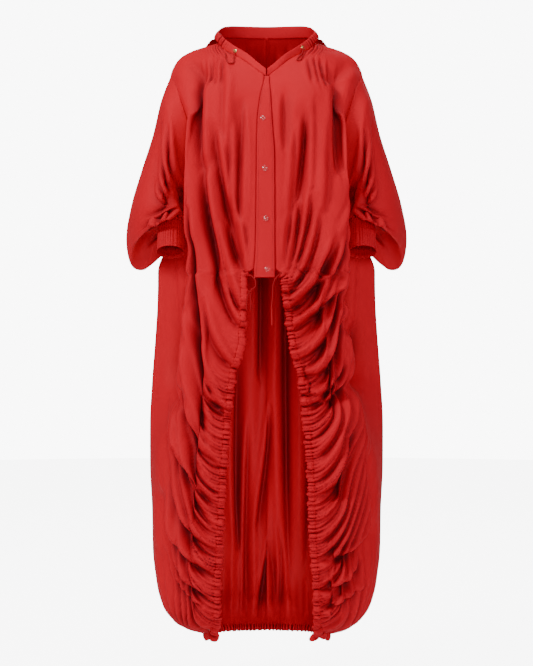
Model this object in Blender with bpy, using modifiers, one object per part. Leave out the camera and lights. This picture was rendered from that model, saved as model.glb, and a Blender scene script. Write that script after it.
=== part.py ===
"""Long hooded windbreaker, worn and filled out, open below the waist.

The garment hangs from the wearer's shoulders. Its two long fronts snap together down to the
waist; below it their edges run in gathered drawcord casings to an elastic hem, so the lower
part is a cocoon with an open front. The sleeves blouse over shirred cuffs, and the hood lies
back, its face edge standing as a collar.

Heights are measured from the hem upwards, "across" from the centre plane outwards, and
"deep" from the middle plane to the back, so the front is negative. The object's origin is
where the wearer's shoulders hold it.
"""

import math
from collections import namedtuple

import bmesh
import bpy
import numpy as np
from mathutils import Matrix, Vector

# ---------------------------------------------------------------- driving sizes (metres)
SHOULDER_HEIGHT = 1.360        # the wearer's shoulders above the hem: the origin
CLOTH = 0.0015                 # wall of every cloth piece
SEAM_GAP = 0.0007              # between two walls that meet edge to edge
UNDERARM_ROOM = 0.0024         # more room for the sleeve where three pieces meet
ROW_STEP = 0.056               # largest distance between two rows of a panel
FRONT_COLUMNS = 15             # cells across one front
BACK_COLUMNS = 20              # cells across the back

FRONT_CASING_WIDTH = 0.017     # drawcord casing of a lower front edge
FRONT_GATHER_PITCH = 0.0190    # one gather of the casing
FRONT_CASING_START = 0.019     # the casing starts this far from the band
FRONT_CASING_FOOT = (-0.003, 0.003, -0.0144)  # its lower end, from the front's lowest point
FRONT_CASING_SWELL = ((0.0, 0.2), (0.5, 1.0), (1.0, 0.6))  # share of the width, of the gather
HEM_HEIGHT = 0.018             # elastic casing round the hem
CUFF_RADIUS = 0.030
CUFF_LENGTH = 0.070
CUFF_TILT = math.radians(25.0)  # the opening faces forward by this much
CUFF_GATHERS = 24
CUFF_WALL = 0.0012
FRONT_GATHER_HEIGHT = 0.0035   # how far a gather of the front casing stands out
HEM_GATHER_HEIGHT = 0.0035
HEM_SWELL = ((0.0, 0.15), (0.5, 1.0), (1.0, 0.6))
HEM_SEAM = 0.0010              # between the hem's casing and the panels
BAND_LIFT = 0.0024             # the button band lies this far in front of the fronts
BAND_BOTTOM = 0.831
BAND_TOP = 1.282
BAND_FOOT = 0.852              # the fronts' edges lie under the band from here up
NECK_POINT = 1.288             # height of the neckline's point
BAND_CROWN = 1.3               # the band's middle lies this many times as far in front
SNAP_RADIUS = 0.0065
SNAP_HEIGHTS = (1.185, 1.072, 0.961, 0.850)
SNAP_LIFT = 0.0006             # between a snap cap and the band
SNAP_DRIFT = 0.0028            # the row of snaps leans to the right of the band, going down
EYELET_HEIGHTS = {"left": 1.352, "right": 1.362}
EYELET_LIFT = 0.0018
ROUND_STEPS = 12               # sides of a snap or an eyelet
HOOD_ROWS = 12
HOOD_SEAM = 0.0012             # between the hood's edge and its casing's
HOOD_KNOTS = (0.0, 0.16, 0.32, 0.46, 0.72, 1.0)
HOOD_GATHER_HEIGHT = 0.003
HOOD_SCRUNCH_PLACE = 5.0       # sections from the centre back to the middle of the scrunch
HOOD_SCRUNCH_SPREAD = 1.6
CORD_RADIUS = 0.0015
CORD_CLEARANCE = 0.0007        # between a hanging cord and what is behind it
KNOT_RADIUS = 0.0036
KNOT_HEIGHT = 0.0070

RED = (0.56, 0.018, 0.022, 1.0)
BRASS = (0.80, 0.62, 0.26, 1.0)

# ---------------------------------------------------------------- tables of the cut
# One row a section, from the hem up. The front's edge is its seam with the casing, the band
# or the hood; the corner is where it turns back, the nook is the hollow behind that.
FrontSection = namedtuple(
    "FrontSection",
    "height edge_left edge_right edge_deep front front_deep corner corner_deep nook nook_deep")
FRONT_SECTIONS = tuple(FrontSection(*row) for row in (
    (0.018, 0.1260, 0.1250, -0.104, 0.138, -0.070, 0.142, -0.042, 0.144, -0.016),
    (0.034, 0.1210, 0.1200, -0.134, 0.148, -0.118, 0.168, -0.080, 0.181, -0.036),
    (0.055, 0.1170, 0.1180, -0.156, 0.156, -0.152, 0.190, -0.112, 0.210, -0.052),
    (0.090, 0.1145, 0.1175, -0.178, 0.160, -0.180, 0.207, -0.138, 0.234, -0.068),
    (0.145, 0.1135, 0.1155, -0.193, 0.165, -0.198, 0.220, -0.152, 0.248, -0.078),
    (0.210, 0.1110, 0.1110, -0.202, 0.165, -0.207, 0.225, -0.160, 0.253, -0.082),
    (0.300, 0.1065, 0.1070, -0.207, 0.160, -0.212, 0.226, -0.162, 0.254, -0.082),
    (0.400, 0.1010, 0.1030, -0.206, 0.155, -0.212, 0.222, -0.160, 0.249, -0.080),
    (0.500, 0.0930, 0.0950, -0.203, 0.148, -0.210, 0.212, -0.156, 0.228, -0.076),
    (0.600, 0.0830, 0.0830, -0.200, 0.140, -0.207, 0.198, -0.152, 0.204, -0.072),
    (0.700, 0.0600, 0.0600, -0.197, 0.128, -0.203, 0.190, -0.150, 0.181, -0.070),
    (0.780, 0.0560, 0.0500, -0.194, 0.115, -0.199, 0.186, -0.150, 0.167, -0.068),
    (0.835, 0.0560, 0.0440, -0.192, 0.112, -0.197, 0.184, -0.152, 0.159, -0.065),
    (0.852, 0.0278, 0.0185, -0.192, 0.105, -0.196, 0.184, -0.152, 0.157, -0.065),
    (0.900, 0.0242, 0.0180, -0.190, 0.098, -0.194, 0.184, -0.155, 0.156, -0.065),
    (0.945, 0.0234, 0.0178, -0.188, 0.095, -0.191, 0.184, -0.155, 0.156, -0.066),
    (0.985, 0.0228, 0.0177, -0.186, 0.094, -0.189, 0.184, -0.153, 0.157, -0.072),
    (1.008, 0.0225, 0.0176, -0.185, 0.093, -0.188, 0.184, -0.152, 0.158, -0.088),
    (1.040, 0.0222, 0.0175, -0.183, 0.092, -0.186, 0.184, -0.150, 0.160, -0.105),
    (1.110, 0.0215, 0.0168, -0.177, 0.090, -0.180, 0.184, -0.143, 0.167, -0.113),
    (1.180, 0.0200, 0.0120, -0.162, 0.090, -0.166, 0.181, -0.127, 0.176, -0.106),
    (1.239, 0.0135, 0.0088, -0.138, 0.088, -0.144, 0.165, -0.117, 0.186, -0.092),
    (1.288, 0.0045, 0.0055, -0.107, 0.090, -0.112, 0.160, -0.088, 0.197, -0.055),
    (1.303, 0.0217, 0.0217, -0.098, 0.095, -0.100, 0.158, -0.075, 0.200, -0.040),
    (1.330, 0.0537, 0.0500, -0.072, 0.105, -0.070, 0.155, -0.045, 0.189, -0.018),
    (1.348, 0.0796, 0.0760, -0.052, 0.115, -0.043, 0.147, -0.027, 0.178, -0.006),
    (1.365, 0.1010, 0.1000, -0.024, 0.120, -0.017, 0.139, -0.006, 0.156, 0.007),
    (1.380, 0.1100, 0.1100, -0.005, 0.1135, 0.001, 0.117, 0.0065, 0.1205, 0.012),
))

# The seam that front and back share: the side seam up to the underarm, the two edges of the
# armhole above it, and the shoulder seam from the shoulder's end to the neck.
SideSeam = namedtuple("SideSeam", "height front front_deep back back_deep")
SIDE_SEAM = tuple(SideSeam(*row) for row in (
    (0.018, 0.1450, 0.010, 0.1450, 0.010),
    (0.034, 0.1840, 0.007, 0.1840, 0.007),
    (0.055, 0.2150, 0.005, 0.2150, 0.005),
    (0.090, 0.2415, 0.005, 0.2415, 0.005),
    (0.145, 0.2565, 0.005, 0.2565, 0.005),
    (0.210, 0.2635, 0.005, 0.2635, 0.005),
    (0.300, 0.2655, 0.010, 0.2655, 0.010),
    (0.400, 0.2705, 0.015, 0.2705, 0.015),
    (0.500, 0.2715, 0.025, 0.2715, 0.025),
    (0.600, 0.2670, 0.035, 0.2670, 0.035),
    (0.700, 0.2600, 0.043, 0.2600, 0.043),
    (0.780, 0.2555, 0.046, 0.2555, 0.046),
    (0.835, 0.2545, 0.047, 0.2545, 0.047),
    (0.852, 0.2545, 0.047, 0.2545, 0.047),
    (0.885, 0.2450, 0.044, 0.2450, 0.044),
    (0.920, 0.2160, 0.029, 0.2160, 0.029),
    (0.950, 0.1960, 0.013, 0.1960, 0.013),
    (0.985, 0.1940, 0.000, 0.1940, 0.000),
    (1.008, 0.1830, -0.034, 0.1870, 0.028),
    (1.040, 0.1700, -0.060, 0.1780, 0.050),
    (1.110, 0.1680, -0.085, 0.1760, 0.075),
    (1.180, 0.1760, -0.085, 0.1820, 0.078),
    (1.239, 0.1940, -0.070, 0.1960, 0.065),
    (1.288, 0.2120, -0.026, 0.2120, 0.030),
    (1.303, 0.2225, 0.004, 0.2225, 0.004),
    (1.330, 0.2135, 0.010, 0.2135, 0.010),
    (1.348, 0.2004, 0.014, 0.2004, 0.014),
    (1.365, 0.1720, 0.017, 0.1720, 0.017),
    (1.380, 0.1240, 0.018, 0.1240, 0.018),
))
UNDERARM_HEIGHT = 0.985
SHOULDER_END_HEIGHT = 1.303

# The back: flank and blade are points on the way from the side seam to the centre. The rows
# near the neck sag by dip at the centre, which makes the round back neckline.
BackSection = namedtuple("BackSection", "height flank flank_deep blade blade_deep centre_deep dip")
BACK_SECTIONS = tuple(BackSection(*row) for row in (
    (0.018, 0.135, 0.050, 0.084, 0.090, 0.104, 0.000),
    (0.034, 0.170, 0.063, 0.100, 0.117, 0.132, 0.000),
    (0.055, 0.197, 0.075, 0.113, 0.139, 0.155, 0.000),
    (0.090, 0.220, 0.088, 0.124, 0.160, 0.178, 0.000),
    (0.145, 0.233, 0.098, 0.130, 0.172, 0.192, 0.000),
    (0.210, 0.239, 0.102, 0.132, 0.178, 0.200, 0.000),
    (0.300, 0.241, 0.106, 0.132, 0.182, 0.203, 0.000),
    (0.400, 0.244, 0.110, 0.130, 0.183, 0.203, 0.000),
    (0.500, 0.243, 0.113, 0.130, 0.180, 0.200, 0.000),
    (0.600, 0.238, 0.114, 0.128, 0.175, 0.195, 0.000),
    (0.700, 0.231, 0.114, 0.125, 0.170, 0.188, 0.000),
    (0.780, 0.226, 0.113, 0.122, 0.165, 0.183, 0.000),
    (0.852, 0.223, 0.112, 0.120, 0.162, 0.180, 0.000),
    (0.900, 0.221, 0.110, 0.118, 0.158, 0.176, 0.000),
    (0.945, 0.202, 0.100, 0.117, 0.156, 0.174, 0.000),
    (0.985, 0.185, 0.092, 0.114, 0.153, 0.171, 0.000),
    (1.008, 0.178, 0.094, 0.112, 0.151, 0.169, 0.000),
    (1.040, 0.166, 0.100, 0.110, 0.148, 0.166, 0.000),
    (1.110, 0.163, 0.108, 0.105, 0.143, 0.160, 0.000),
    (1.180, 0.164, 0.102, 0.100, 0.136, 0.150, 0.000),
    (1.239, 0.168, 0.088, 0.098, 0.122, 0.136, 0.000),
    (1.288, 0.175, 0.060, 0.099, 0.099, 0.115, 0.012),
    (1.303, 0.178, 0.048, 0.100, 0.090, 0.108, 0.020),
    (1.330, 0.166, 0.041, 0.098, 0.072, 0.094, 0.035),
    (1.348, 0.156, 0.036, 0.094, 0.062, 0.085, 0.046),
    (1.365, 0.138, 0.033, 0.088, 0.057, 0.077, 0.055),
    (1.380, 0.112, 0.036, 0.078, 0.056, 0.070, 0.062),
))

# The largest folds, placed as the front view shows them: start, bend and end of each, how
# deep the trough is and its half width.
Fold = namedtuple("Fold", "start start_high bend bend_high end end_high depth width")
FOLDS = {
    "left": tuple(Fold(*row) for row in (
        (0.150, 1.310, 0.157, 1.200, 0.155, 1.090, 0.017, 0.026),
        (0.118, 1.156, 0.106, 1.065, 0.060, 0.880, 0.013, 0.022),
        (0.052, 1.213, 0.060, 1.035, 0.056, 0.950, 0.010, 0.018),
        (0.147, 1.076, 0.135, 0.970, 0.087, 0.806, 0.015, 0.024),
        (0.177, 0.892, 0.158, 0.690, 0.128, 0.470, 0.020, 0.027),
        (0.188, 0.779, 0.212, 0.620, 0.177, 0.471, 0.018, 0.027),
        (0.175, 0.480, 0.150, 0.350, 0.112, 0.300, 0.018, 0.027),
        (0.235, 0.460, 0.215, 0.310, 0.125, 0.215, 0.020, 0.030),
        (0.250, 0.330, 0.215, 0.170, 0.125, 0.130, 0.019, 0.028),
        (0.246, 0.200, 0.200, 0.105, 0.135, 0.085, 0.015, 0.024),
    )),
    "right": tuple(Fold(*row) for row in (
        (0.160, 1.300, 0.164, 1.190, 0.164, 1.080, 0.015, 0.026),
        (0.038, 1.240, 0.042, 1.060, 0.040, 0.930, 0.010, 0.018),
        (0.084, 1.190, 0.074, 1.040, 0.050, 0.860, 0.013, 0.021),
        (0.140, 0.850, 0.100, 0.770, 0.060, 0.725, 0.016, 0.024),
        (0.188, 0.805, 0.130, 0.735, 0.067, 0.690, 0.017, 0.025),
        (0.192, 0.770, 0.150, 0.620, 0.078, 0.600, 0.019, 0.027),
        (0.215, 0.720, 0.205, 0.610, 0.092, 0.545, 0.019, 0.027),
        (0.195, 0.478, 0.175, 0.380, 0.110, 0.350, 0.018, 0.027),
        (0.236, 0.420, 0.230, 0.240, 0.125, 0.225, 0.020, 0.030),
        (0.250, 0.260, 0.190, 0.150, 0.130, 0.150, 0.016, 0.026),
    )),
}
# Upright folds of the back, which also show inside the open front.
BACK_FOLDS = tuple(Fold(*row) for row in (
    (-0.215, 1.000, -0.225, 0.600, -0.215, 0.080, 0.014, 0.022),
    (-0.160, 1.100, -0.165, 0.600, -0.150, 0.070, 0.017, 0.024),
    (-0.098, 1.100, -0.100, 0.550, -0.085, 0.060, 0.020, 0.024),
    (-0.040, 1.120, -0.042, 0.600, -0.035, 0.060, 0.016, 0.022),
    (0.020, 1.080, 0.012, 0.560, 0.005, 0.060, 0.016, 0.022),
    (0.075, 1.120, 0.072, 0.600, 0.060, 0.060, 0.020, 0.024),
    (0.135, 1.080, 0.140, 0.550, 0.120, 0.065, 0.017, 0.024),
    (0.205, 1.000, 0.215, 0.600, 0.200, 0.080, 0.014, 0.022),
))

# Sleeve rings below the armhole: the points to the outside, front, inside (the body) and
# back of each ring, as across, deep, height. The last ring is the cuff's top.
SleeveRing = namedtuple("SleeveRing", "outer front inner back")
SLEEVE_RINGS = tuple(SleeveRing(*row) for row in (
    ((0.2430, 0.005, 1.250), (0.2050, -0.100, 1.150),
     (0.2050, -0.0087, 0.9812), (0.2220, 0.085, 1.130)),
    ((0.2640, 0.008, 1.165), (0.2200, -0.110, 1.105),
     (0.2080, -0.0174, 0.9775), (0.2460, 0.082, 1.055)),
    ((0.2900, 0.010, 1.085), (0.2300, -0.117, 1.060),
     (0.2070, -0.0261, 0.9737), (0.2680, 0.078, 0.990)),
    ((0.3120, 0.010, 1.010), (0.2380, -0.122, 1.020),
     (0.2040, -0.0348, 0.9699), (0.2880, 0.072, 0.932)),
    ((0.3210, 0.010, 0.955), (0.2410, -0.124, 0.985),
     (0.2000, -0.0435, 0.9661), (0.2950, 0.066, 0.882)),
    ((0.3100, 0.006, 0.906), (0.2390, -0.121, 0.952),
     (0.1950, -0.0522, 0.9624), (0.2850, 0.051, 0.858)),
    ((0.2700, -0.028, 0.950), (0.2270, -0.109, 0.976),
     (0.1905, -0.0609, 0.9586), (0.2480, -0.010, 0.932)),
))
CUFF_CENTRE = (0.2165, -0.0696, 0.9548)   # middle of the cuff's top rim

# The face casing of the hood, from the point of the neckline round to the centre back: its
# sewn edge and its free edge.
CasingSection = namedtuple("CasingSection", "sewn free")
COLLAR_SECTIONS = tuple(CasingSection(*row) for row in (
    ((0.1195, 0.035, 1.3960), (0.1115, 0.033, 1.4130)),
    ((0.1090, 0.075, 1.4050), (0.1035, 0.072, 1.4300)),
    ((0.0800, 0.104, 1.4110), (0.0770, 0.100, 1.4385)),
    ((0.0400, 0.118, 1.4120), (0.0385, 0.114, 1.4400)),
    ((0.0000, 0.122, 1.4120), (0.0000, 0.118, 1.4400)),
))
# Free edge of the strip along the neckline, from its point up, one for each neckline row.
NECK_STRIP_FREE = ((0.0015, -0.106, 1.3045), (0.0160, -0.094, 1.3175), (0.0430, -0.075, 1.343),
                   (0.0690, -0.055, 1.362), (0.0900, -0.028, 1.3810), (0.1010, -0.010, 1.3950))

# The laid-back hood, from the shoulder to the centre back. Its inner layer lies on the back
# down to the row given; then come the bottom of the bag and the outer layer.
HoodSection = namedtuple("HoodSection", "lies_to low far")
HOOD_SECTIONS = tuple(HoodSection(*row) for row in (
    (1.3740, (0.138, 0.042, 1.3850), (0.128, 0.048, 1.3970)),
    (1.3300, (0.158, 0.105, 1.3000), (0.147, 0.112, 1.3560)),
    (1.2500, (0.135, 0.155, 1.2050), (0.132, 0.165, 1.3150)),
    (1.2000, (0.075, 0.184, 1.1620), (0.073, 0.196, 1.2850)),
    (1.1850, (0.000, 0.192, 1.1450), (0.000, 0.206, 1.2750)),
))
HOOD_LIFTS = (0.0024, 0.0070, 0.0100)   # how far the inner layer lies off the back, going down

# Loops of the hood's drawcord in front of the chest, from the eyelet down and back up to the
# neckline's seam, as across and height.
HOOD_LOOPS = {
    "left": ((0.0745, 1.3410), (0.0735, 1.3280), (0.0775, 1.3195), (0.0850, 1.3195),
             (0.0905, 1.3280), (0.0930, 1.3400), (0.0935, 1.3480)),
    "right": ((0.0800, 1.3450), (0.0730, 1.3370), (0.0690, 1.3290), (0.0740, 1.3275),
              (0.0800, 1.3350), (0.0850, 1.3430), (0.0885, 1.3490)),
}
# The free ends at the waist and their knots, as signed across, deep, height.
KNOTS = {"left": (-0.0375, -0.2008, 0.8003), "right": (0.0305, -0.1970, 0.8405)}
WAIST_CORDS = {
    "left_loop": ((-0.0387, -0.1935, 0.8353), (-0.0345, -0.1962, 0.8350),
                  (-0.0290, -0.1995, 0.8300), (-0.0240, -0.2010, 0.8225),
                  (-0.0240, -0.2015, 0.8130), (-0.0290, -0.2012, 0.8070),
                  (-0.0347, -0.2009, 0.8037)),
    "left_outer": ((-0.0393, -0.2008, 0.7966), (-0.0415, -0.2012, 0.7900),
                   (-0.0436, -0.2014, 0.7800), (-0.0440, -0.2014, 0.7600)),
    "left_inner": ((-0.0357, -0.2008, 0.7966), (-0.0354, -0.2012, 0.7880),
                   (-0.0352, -0.2014, 0.7780), (-0.0341, -0.2014, 0.7590)),
    "right": ((0.0285, -0.1972, 0.8373), (0.0235, -0.1987, 0.8332), (0.0168, -0.1990, 0.8230),
              (0.0138, -0.1990, 0.8090), (0.0136, -0.1990, 0.7930), (0.0112, -0.1990, 0.7660),
              (0.0117, -0.1990, 0.7260)),
}

# ---------------------------------------------------------------- curves through tables


def slopes(knots, values):
    """Slopes of a curve through the values that never swings past them."""
    step = np.diff(knots)[:, None]
    secant = np.diff(values, axis=0) / step
    slope = np.zeros_like(values)
    before, after = secant[:-1], secant[1:]
    same_way = before * after > 0.0
    weight_before = 2.0 * step[1:] + step[:-1]
    weight_after = step[1:] + 2.0 * step[:-1]
    safe_before = np.where(same_way, before, 1.0)
    safe_after = np.where(same_way, after, 1.0)
    mean = (weight_before + weight_after) / (weight_before / safe_before + weight_after / safe_after)
    slope[1:-1] = np.where(same_way, mean, 0.0)
    slope[0] = secant[0]
    slope[-1] = secant[-1]
    return slope


def smooth(knots, values, places):
    """Cubic curve through rows of values, read at the places."""
    knots = np.asarray(knots, float)
    values = np.asarray(values, float)
    flat = values.reshape(len(knots), -1)
    slope = slopes(knots, flat)
    places = np.clip(np.asarray(places, float), knots[0], knots[-1])
    index = np.clip(np.searchsorted(knots, places, side="right") - 1, 0, len(knots) - 2)
    span = (knots[index + 1] - knots[index])[:, None]
    t = (places - knots[index])[:, None] / span
    low, high = flat[index], flat[index + 1]
    result = (low * (2 * t**3 - 3 * t**2 + 1) + high * (3 * t**2 - 2 * t**3)
              + slope[index] * span * (t**3 - 2 * t**2 + t)
              + slope[index + 1] * span * (t**3 - t**2))
    return result.reshape((len(places),) + values.shape[1:])


def column(table, name):
    """One named column of a table as an array."""
    return np.array([getattr(row, name) for row in table])


def row_heights(table):
    """Heights of a panel's rows: those of its table, and more between far rows."""
    heights = [table[0].height]
    for low, high in zip(table, table[1:]):
        parts = max(1, math.ceil((high.height - low.height) / ROW_STEP))
        rise = (high.height - low.height) / parts
        heights.extend(low.height + rise * step for step in range(1, parts + 1))
    return np.array(heights)


def lifted(points):
    """Points measured from the hem, moved to the object's own origin."""
    return np.asarray(points, float) - np.array((0.0, 0.0, SHOULDER_HEIGHT))


# ---------------------------------------------------------------- the panels' surfaces
FRONT_KNOTS = (0.0, 0.24, 0.50, 0.72, 1.0)
BACK_KNOTS = (0.0, 0.25, 0.60, 1.0)
SIDES = {"left": -1.0, "right": 1.0}


def side_seam_at(heights, edge):
    """Seam points at the heights: edge is "front" or "back"."""
    table_heights = column(SIDE_SEAM, "height")
    across = smooth(table_heights, column(SIDE_SEAM, edge), heights)
    deep = smooth(table_heights, column(SIDE_SEAM, edge + "_deep"), heights)
    return across, deep


def front_surface(side, places, heights):
    """Unfolded front at the places across it (0 at its edge, 1 at the side) and heights."""
    rows = column(FRONT_SECTIONS, "height")
    edge = smooth(rows, column(FRONT_SECTIONS, "edge_" + side), heights)
    guides = [(edge, smooth(rows, column(FRONT_SECTIONS, "edge_deep"), heights))]
    for name in ("front", "corner", "nook"):
        guides.append((smooth(rows, column(FRONT_SECTIONS, name), heights),
                       smooth(rows, column(FRONT_SECTIONS, name + "_deep"), heights)))
    guides.append(side_seam_at(heights, "front"))
    plan = np.array(guides)                       # guide, across or deep, height
    curve = smooth(FRONT_KNOTS, plan, places)     # place, across or deep, height
    grid = np.empty((len(heights), len(places), 3))
    grid[..., 0] = curve[:, 0].T * SIDES[side]
    grid[..., 1] = curve[:, 1].T
    grid[..., 2] = np.asarray(heights)[:, None]
    return grid


def back_surface(places, heights):
    """Unfolded back at the places across it (-1 left seam, 0 centre, 1 right) and heights."""
    rows = column(BACK_SECTIONS, "height")
    guides = [side_seam_at(heights, "back")]
    for name in ("flank", "blade"):
        guides.append((smooth(rows, column(BACK_SECTIONS, name), heights),
                       smooth(rows, column(BACK_SECTIONS, name + "_deep"), heights)))
    guides.append((np.zeros(len(heights)), smooth(rows, column(BACK_SECTIONS, "centre_deep"), heights)))
    plan = np.array(guides)
    curve = smooth(BACK_KNOTS, plan, 1.0 - np.abs(places))
    dip = smooth(rows, column(BACK_SECTIONS, "dip"), heights)
    round_neck = np.cos(np.abs(places) * math.pi / 2.0) ** 0.8
    grid = np.empty((len(heights), len(places), 3))
    grid[..., 0] = curve[:, 0].T * np.sign(places)
    grid[..., 1] = curve[:, 1].T
    grid[..., 2] = np.asarray(heights)[:, None] - dip[:, None] * round_neck
    return grid


def grid_normals(grid):
    """Unit normals of a grid of points, by its rows and columns."""
    along = np.gradient(grid, axis=1)
    up = np.gradient(grid, axis=0)
    normal = np.cross(along, up)
    length = np.linalg.norm(normal, axis=2, keepdims=True)
    return normal / np.maximum(length, 1e-12)


def distance_to_path(flat, path):
    """Distance of each flat point to a path of points."""
    best = np.full(flat.shape[:-1], np.inf)
    for start, end in zip(path, path[1:]):
        leg = end - start
        share = ((flat - start) @ leg) / max(leg @ leg, 1e-12)
        foot = start + np.clip(share, 0.0, 1.0)[..., None] * leg
        best = np.minimum(best, np.linalg.norm(flat - foot, axis=-1))
    return best


def fold_path(fold, steps=9):
    """Points of a fold from its start over its bend to its end."""
    t = np.linspace(0.0, 1.0, steps)[:, None]
    start = np.array((fold.start, fold.start_high))
    bend = np.array((fold.bend, fold.bend_high))
    end = np.array((fold.end, fold.end_high))
    control = 2.0 * bend - (start + end) / 2.0
    return (1 - t) ** 2 * start + 2 * t * (1 - t) * control + t**2 * end


def fold_depth(grid, folds, free_edge):
    """How far the folds push each point of a panel in; nothing at its seams."""
    across = np.abs(grid[..., 0]) if free_edge else grid[..., 0]
    step = np.hypot(np.diff(grid[..., 0], axis=1), np.diff(grid[..., 1], axis=1))
    run = np.concatenate((np.zeros((grid.shape[0], 1)), np.cumsum(step, axis=1)), axis=1)
    middle = 0 if free_edge else grid.shape[1] // 2
    run = run - run[:, middle:middle + 1]
    flat = np.stack((run, grid[..., 2]), axis=-1)
    total = np.zeros(grid.shape[:2])
    for fold in folds:
        path = []
        for place, height in fold_path(fold):
            row = int(np.argmin(np.abs(grid[:, middle, 2] - height)))
            reach = np.maximum.accumulate(across[row]) + np.arange(grid.shape[1]) * 1e-9
            path.append((np.interp(place, reach, run[row]), height))
        away = distance_to_path(flat, np.array(path))
        total += fold.depth * np.exp(-(away / fold.width) ** 2)
    return total


def edge_fade(rows, columns):
    """1 inside a panel, falling to 0 at its edges."""
    v = np.minimum(np.arange(rows), np.arange(rows)[::-1])[:, None]
    u = np.minimum(np.arange(columns), np.arange(columns)[::-1])[None, :]
    return np.clip(v / 2.0, 0.0, 1.0) * np.clip(u / 2.0, 0.0, 1.0)


def front_grid(side):
    """The front with its folds, as rows of points from the hem up."""
    heights = row_heights(FRONT_SECTIONS)
    grid = front_surface(side, np.linspace(0.0, 1.0, FRONT_COLUMNS + 1), heights)
    outward = grid_normals(grid) * SIDES[side]
    depth = fold_depth(grid, FOLDS[side], True) * edge_fade(*grid.shape[:2])
    return grid - outward * depth[..., None]


def back_grid():
    """The back with its folds, as rows of points from the hem up."""
    heights = row_heights(BACK_SECTIONS)
    half = BACK_COLUMNS // 2
    grid = back_surface(np.arange(-half, half + 1) / half, heights)
    outward = -grid_normals(grid)
    depth = fold_depth(grid, BACK_FOLDS, False) * edge_fade(*grid.shape[:2])
    return grid - outward * depth[..., None]


# ---------------------------------------------------------------- seams between pieces


def unit(vectors):
    """The vectors at length 1."""
    return vectors / np.maximum(np.linalg.norm(vectors, axis=-1, keepdims=True), 1e-12)


def drawn_back(edge, own_inner, other_inner):
    """A panel's edge points, drawn back from a seam so that the two walls stay apart.

    Walls that meet at a sharp fold need more room than walls that run on into each other.
    """
    along = unit(np.gradient(edge, axis=0))
    own, other = own_inner - edge, other_inner - edge
    own = unit(own - along * np.sum(own * along, axis=-1, keepdims=True))
    other = unit(other - along * np.sum(other * along, axis=-1, keepdims=True))
    angle = np.arccos(np.clip(np.sum(own * other, axis=-1), -1.0, 1.0))
    room = SEAM_GAP / 2.0 + CLOTH / 2.0 / np.tan(np.clip(angle, 0.5, math.pi - 0.001) / 2.0)
    return edge + own * room[..., None]


def row_at(grid, height, place=0):
    """Index of the row whose point at the place is nearest the height."""
    return int(np.argmin(np.abs(grid[:, place, 2] - height)))


def open_seams(fronts, back, armholes):
    """Parts the panels along the side, shoulder and armhole seams.

    At the underarm three pieces meet, and the sleeve keeps clear of the other two.
    """
    back_before = back.copy()
    for side, front in fronts.items():
        back_edge, back_inner = (0, 1) if side == "left" else (-1, -2)
        low, high = row_at(front, UNDERARM_HEIGHT, -1), row_at(front, SHOULDER_END_HEIGHT, -1)
        front_edge, rows = front[:, -1].copy(), np.arange(len(front))
        shared = (rows <= low) | (rows >= high)
        ring, ring_next = armholes[side]
        front_turn = ring_next[:high - low + 1][::-1]
        back_turn = np.concatenate((ring_next[high - low:], ring_next[:1]))
        partner = back_before[:, back_inner].copy()
        partner[low + 1:high] = front_turn[1:-1]
        front[:, -1] = drawn_back(front_edge, front[:, -2], partner)
        partner = fronts[side][:, -2].copy()
        partner[low + 1:high] = back_turn[1:-1]
        edge = np.where(shared[:, None], front_edge, back_before[:, back_edge])
        back[:, back_edge] = drawn_back(edge, back_before[:, back_inner], partner)
        inner = np.concatenate((front[low + 1:high + 1, -2][::-1], back_before[low:high, back_inner]))
        sewn = drawn_back(ring, ring_next, inner)
        underarm = high - low
        sewn[underarm] += unit(ring_next - ring)[underarm] * UNDERARM_ROOM
        armholes[side] = (sewn, ring_next)


def armhole_ring(front, back, side):
    """The armhole's points: shoulder end, front edge, underarm and back edge."""
    low, high = row_at(front, UNDERARM_HEIGHT, -1), row_at(front, SHOULDER_END_HEIGHT, -1)
    front_edge = front[low:high + 1, -1][::-1]
    back_edge = back[low:high + 1, 0 if side == "left" else -1]
    return np.concatenate((front_edge, back_edge[1:-1]))


# ---------------------------------------------------------------- making objects


def material(name, colour, roughness, metallic=0.0):
    """A plain finish."""
    made = bpy.data.materials.new(name)
    made.use_nodes = True
    shader = made.node_tree.nodes["Principled BSDF"]
    shader.inputs["Base Color"].default_value = colour
    shader.inputs["Roughness"].default_value = roughness
    shader.inputs["Metallic"].default_value = metallic
    made.diffuse_color = colour
    return made


def add_object(name, mesh, finish, collection):
    """An object of the mesh in the collection, with its own finish."""
    made = bpy.data.objects.new(name, mesh)
    mesh.materials.append(material(name, *finish))
    collection.objects.link(made)
    return made


def cloth(name, grid, collection, ring=False, thickness=CLOTH):
    """A cloth wall round a grid of points; a ring's rows close on themselves."""
    rows, columns = grid.shape[:2]
    mesh = bpy.data.meshes.new(name)
    shell = bmesh.new()
    made = [[shell.verts.new(Vector(point)) for point in row] for row in lifted(grid)]
    wrap = columns if ring else columns - 1
    for row in range(rows - 1):
        for place in range(wrap):
            after = (place + 1) % columns
            shell.faces.new((made[row][place], made[row][after],
                             made[row + 1][after], made[row + 1][place]))
    shell.to_mesh(mesh)
    shell.free()
    mesh.shade_smooth()
    piece = add_object(name, mesh, (RED, 0.55), collection)
    wall = piece.modifiers.new("Wall", "SOLIDIFY")
    wall.thickness = thickness
    wall.offset = 0.0
    return piece


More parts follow.
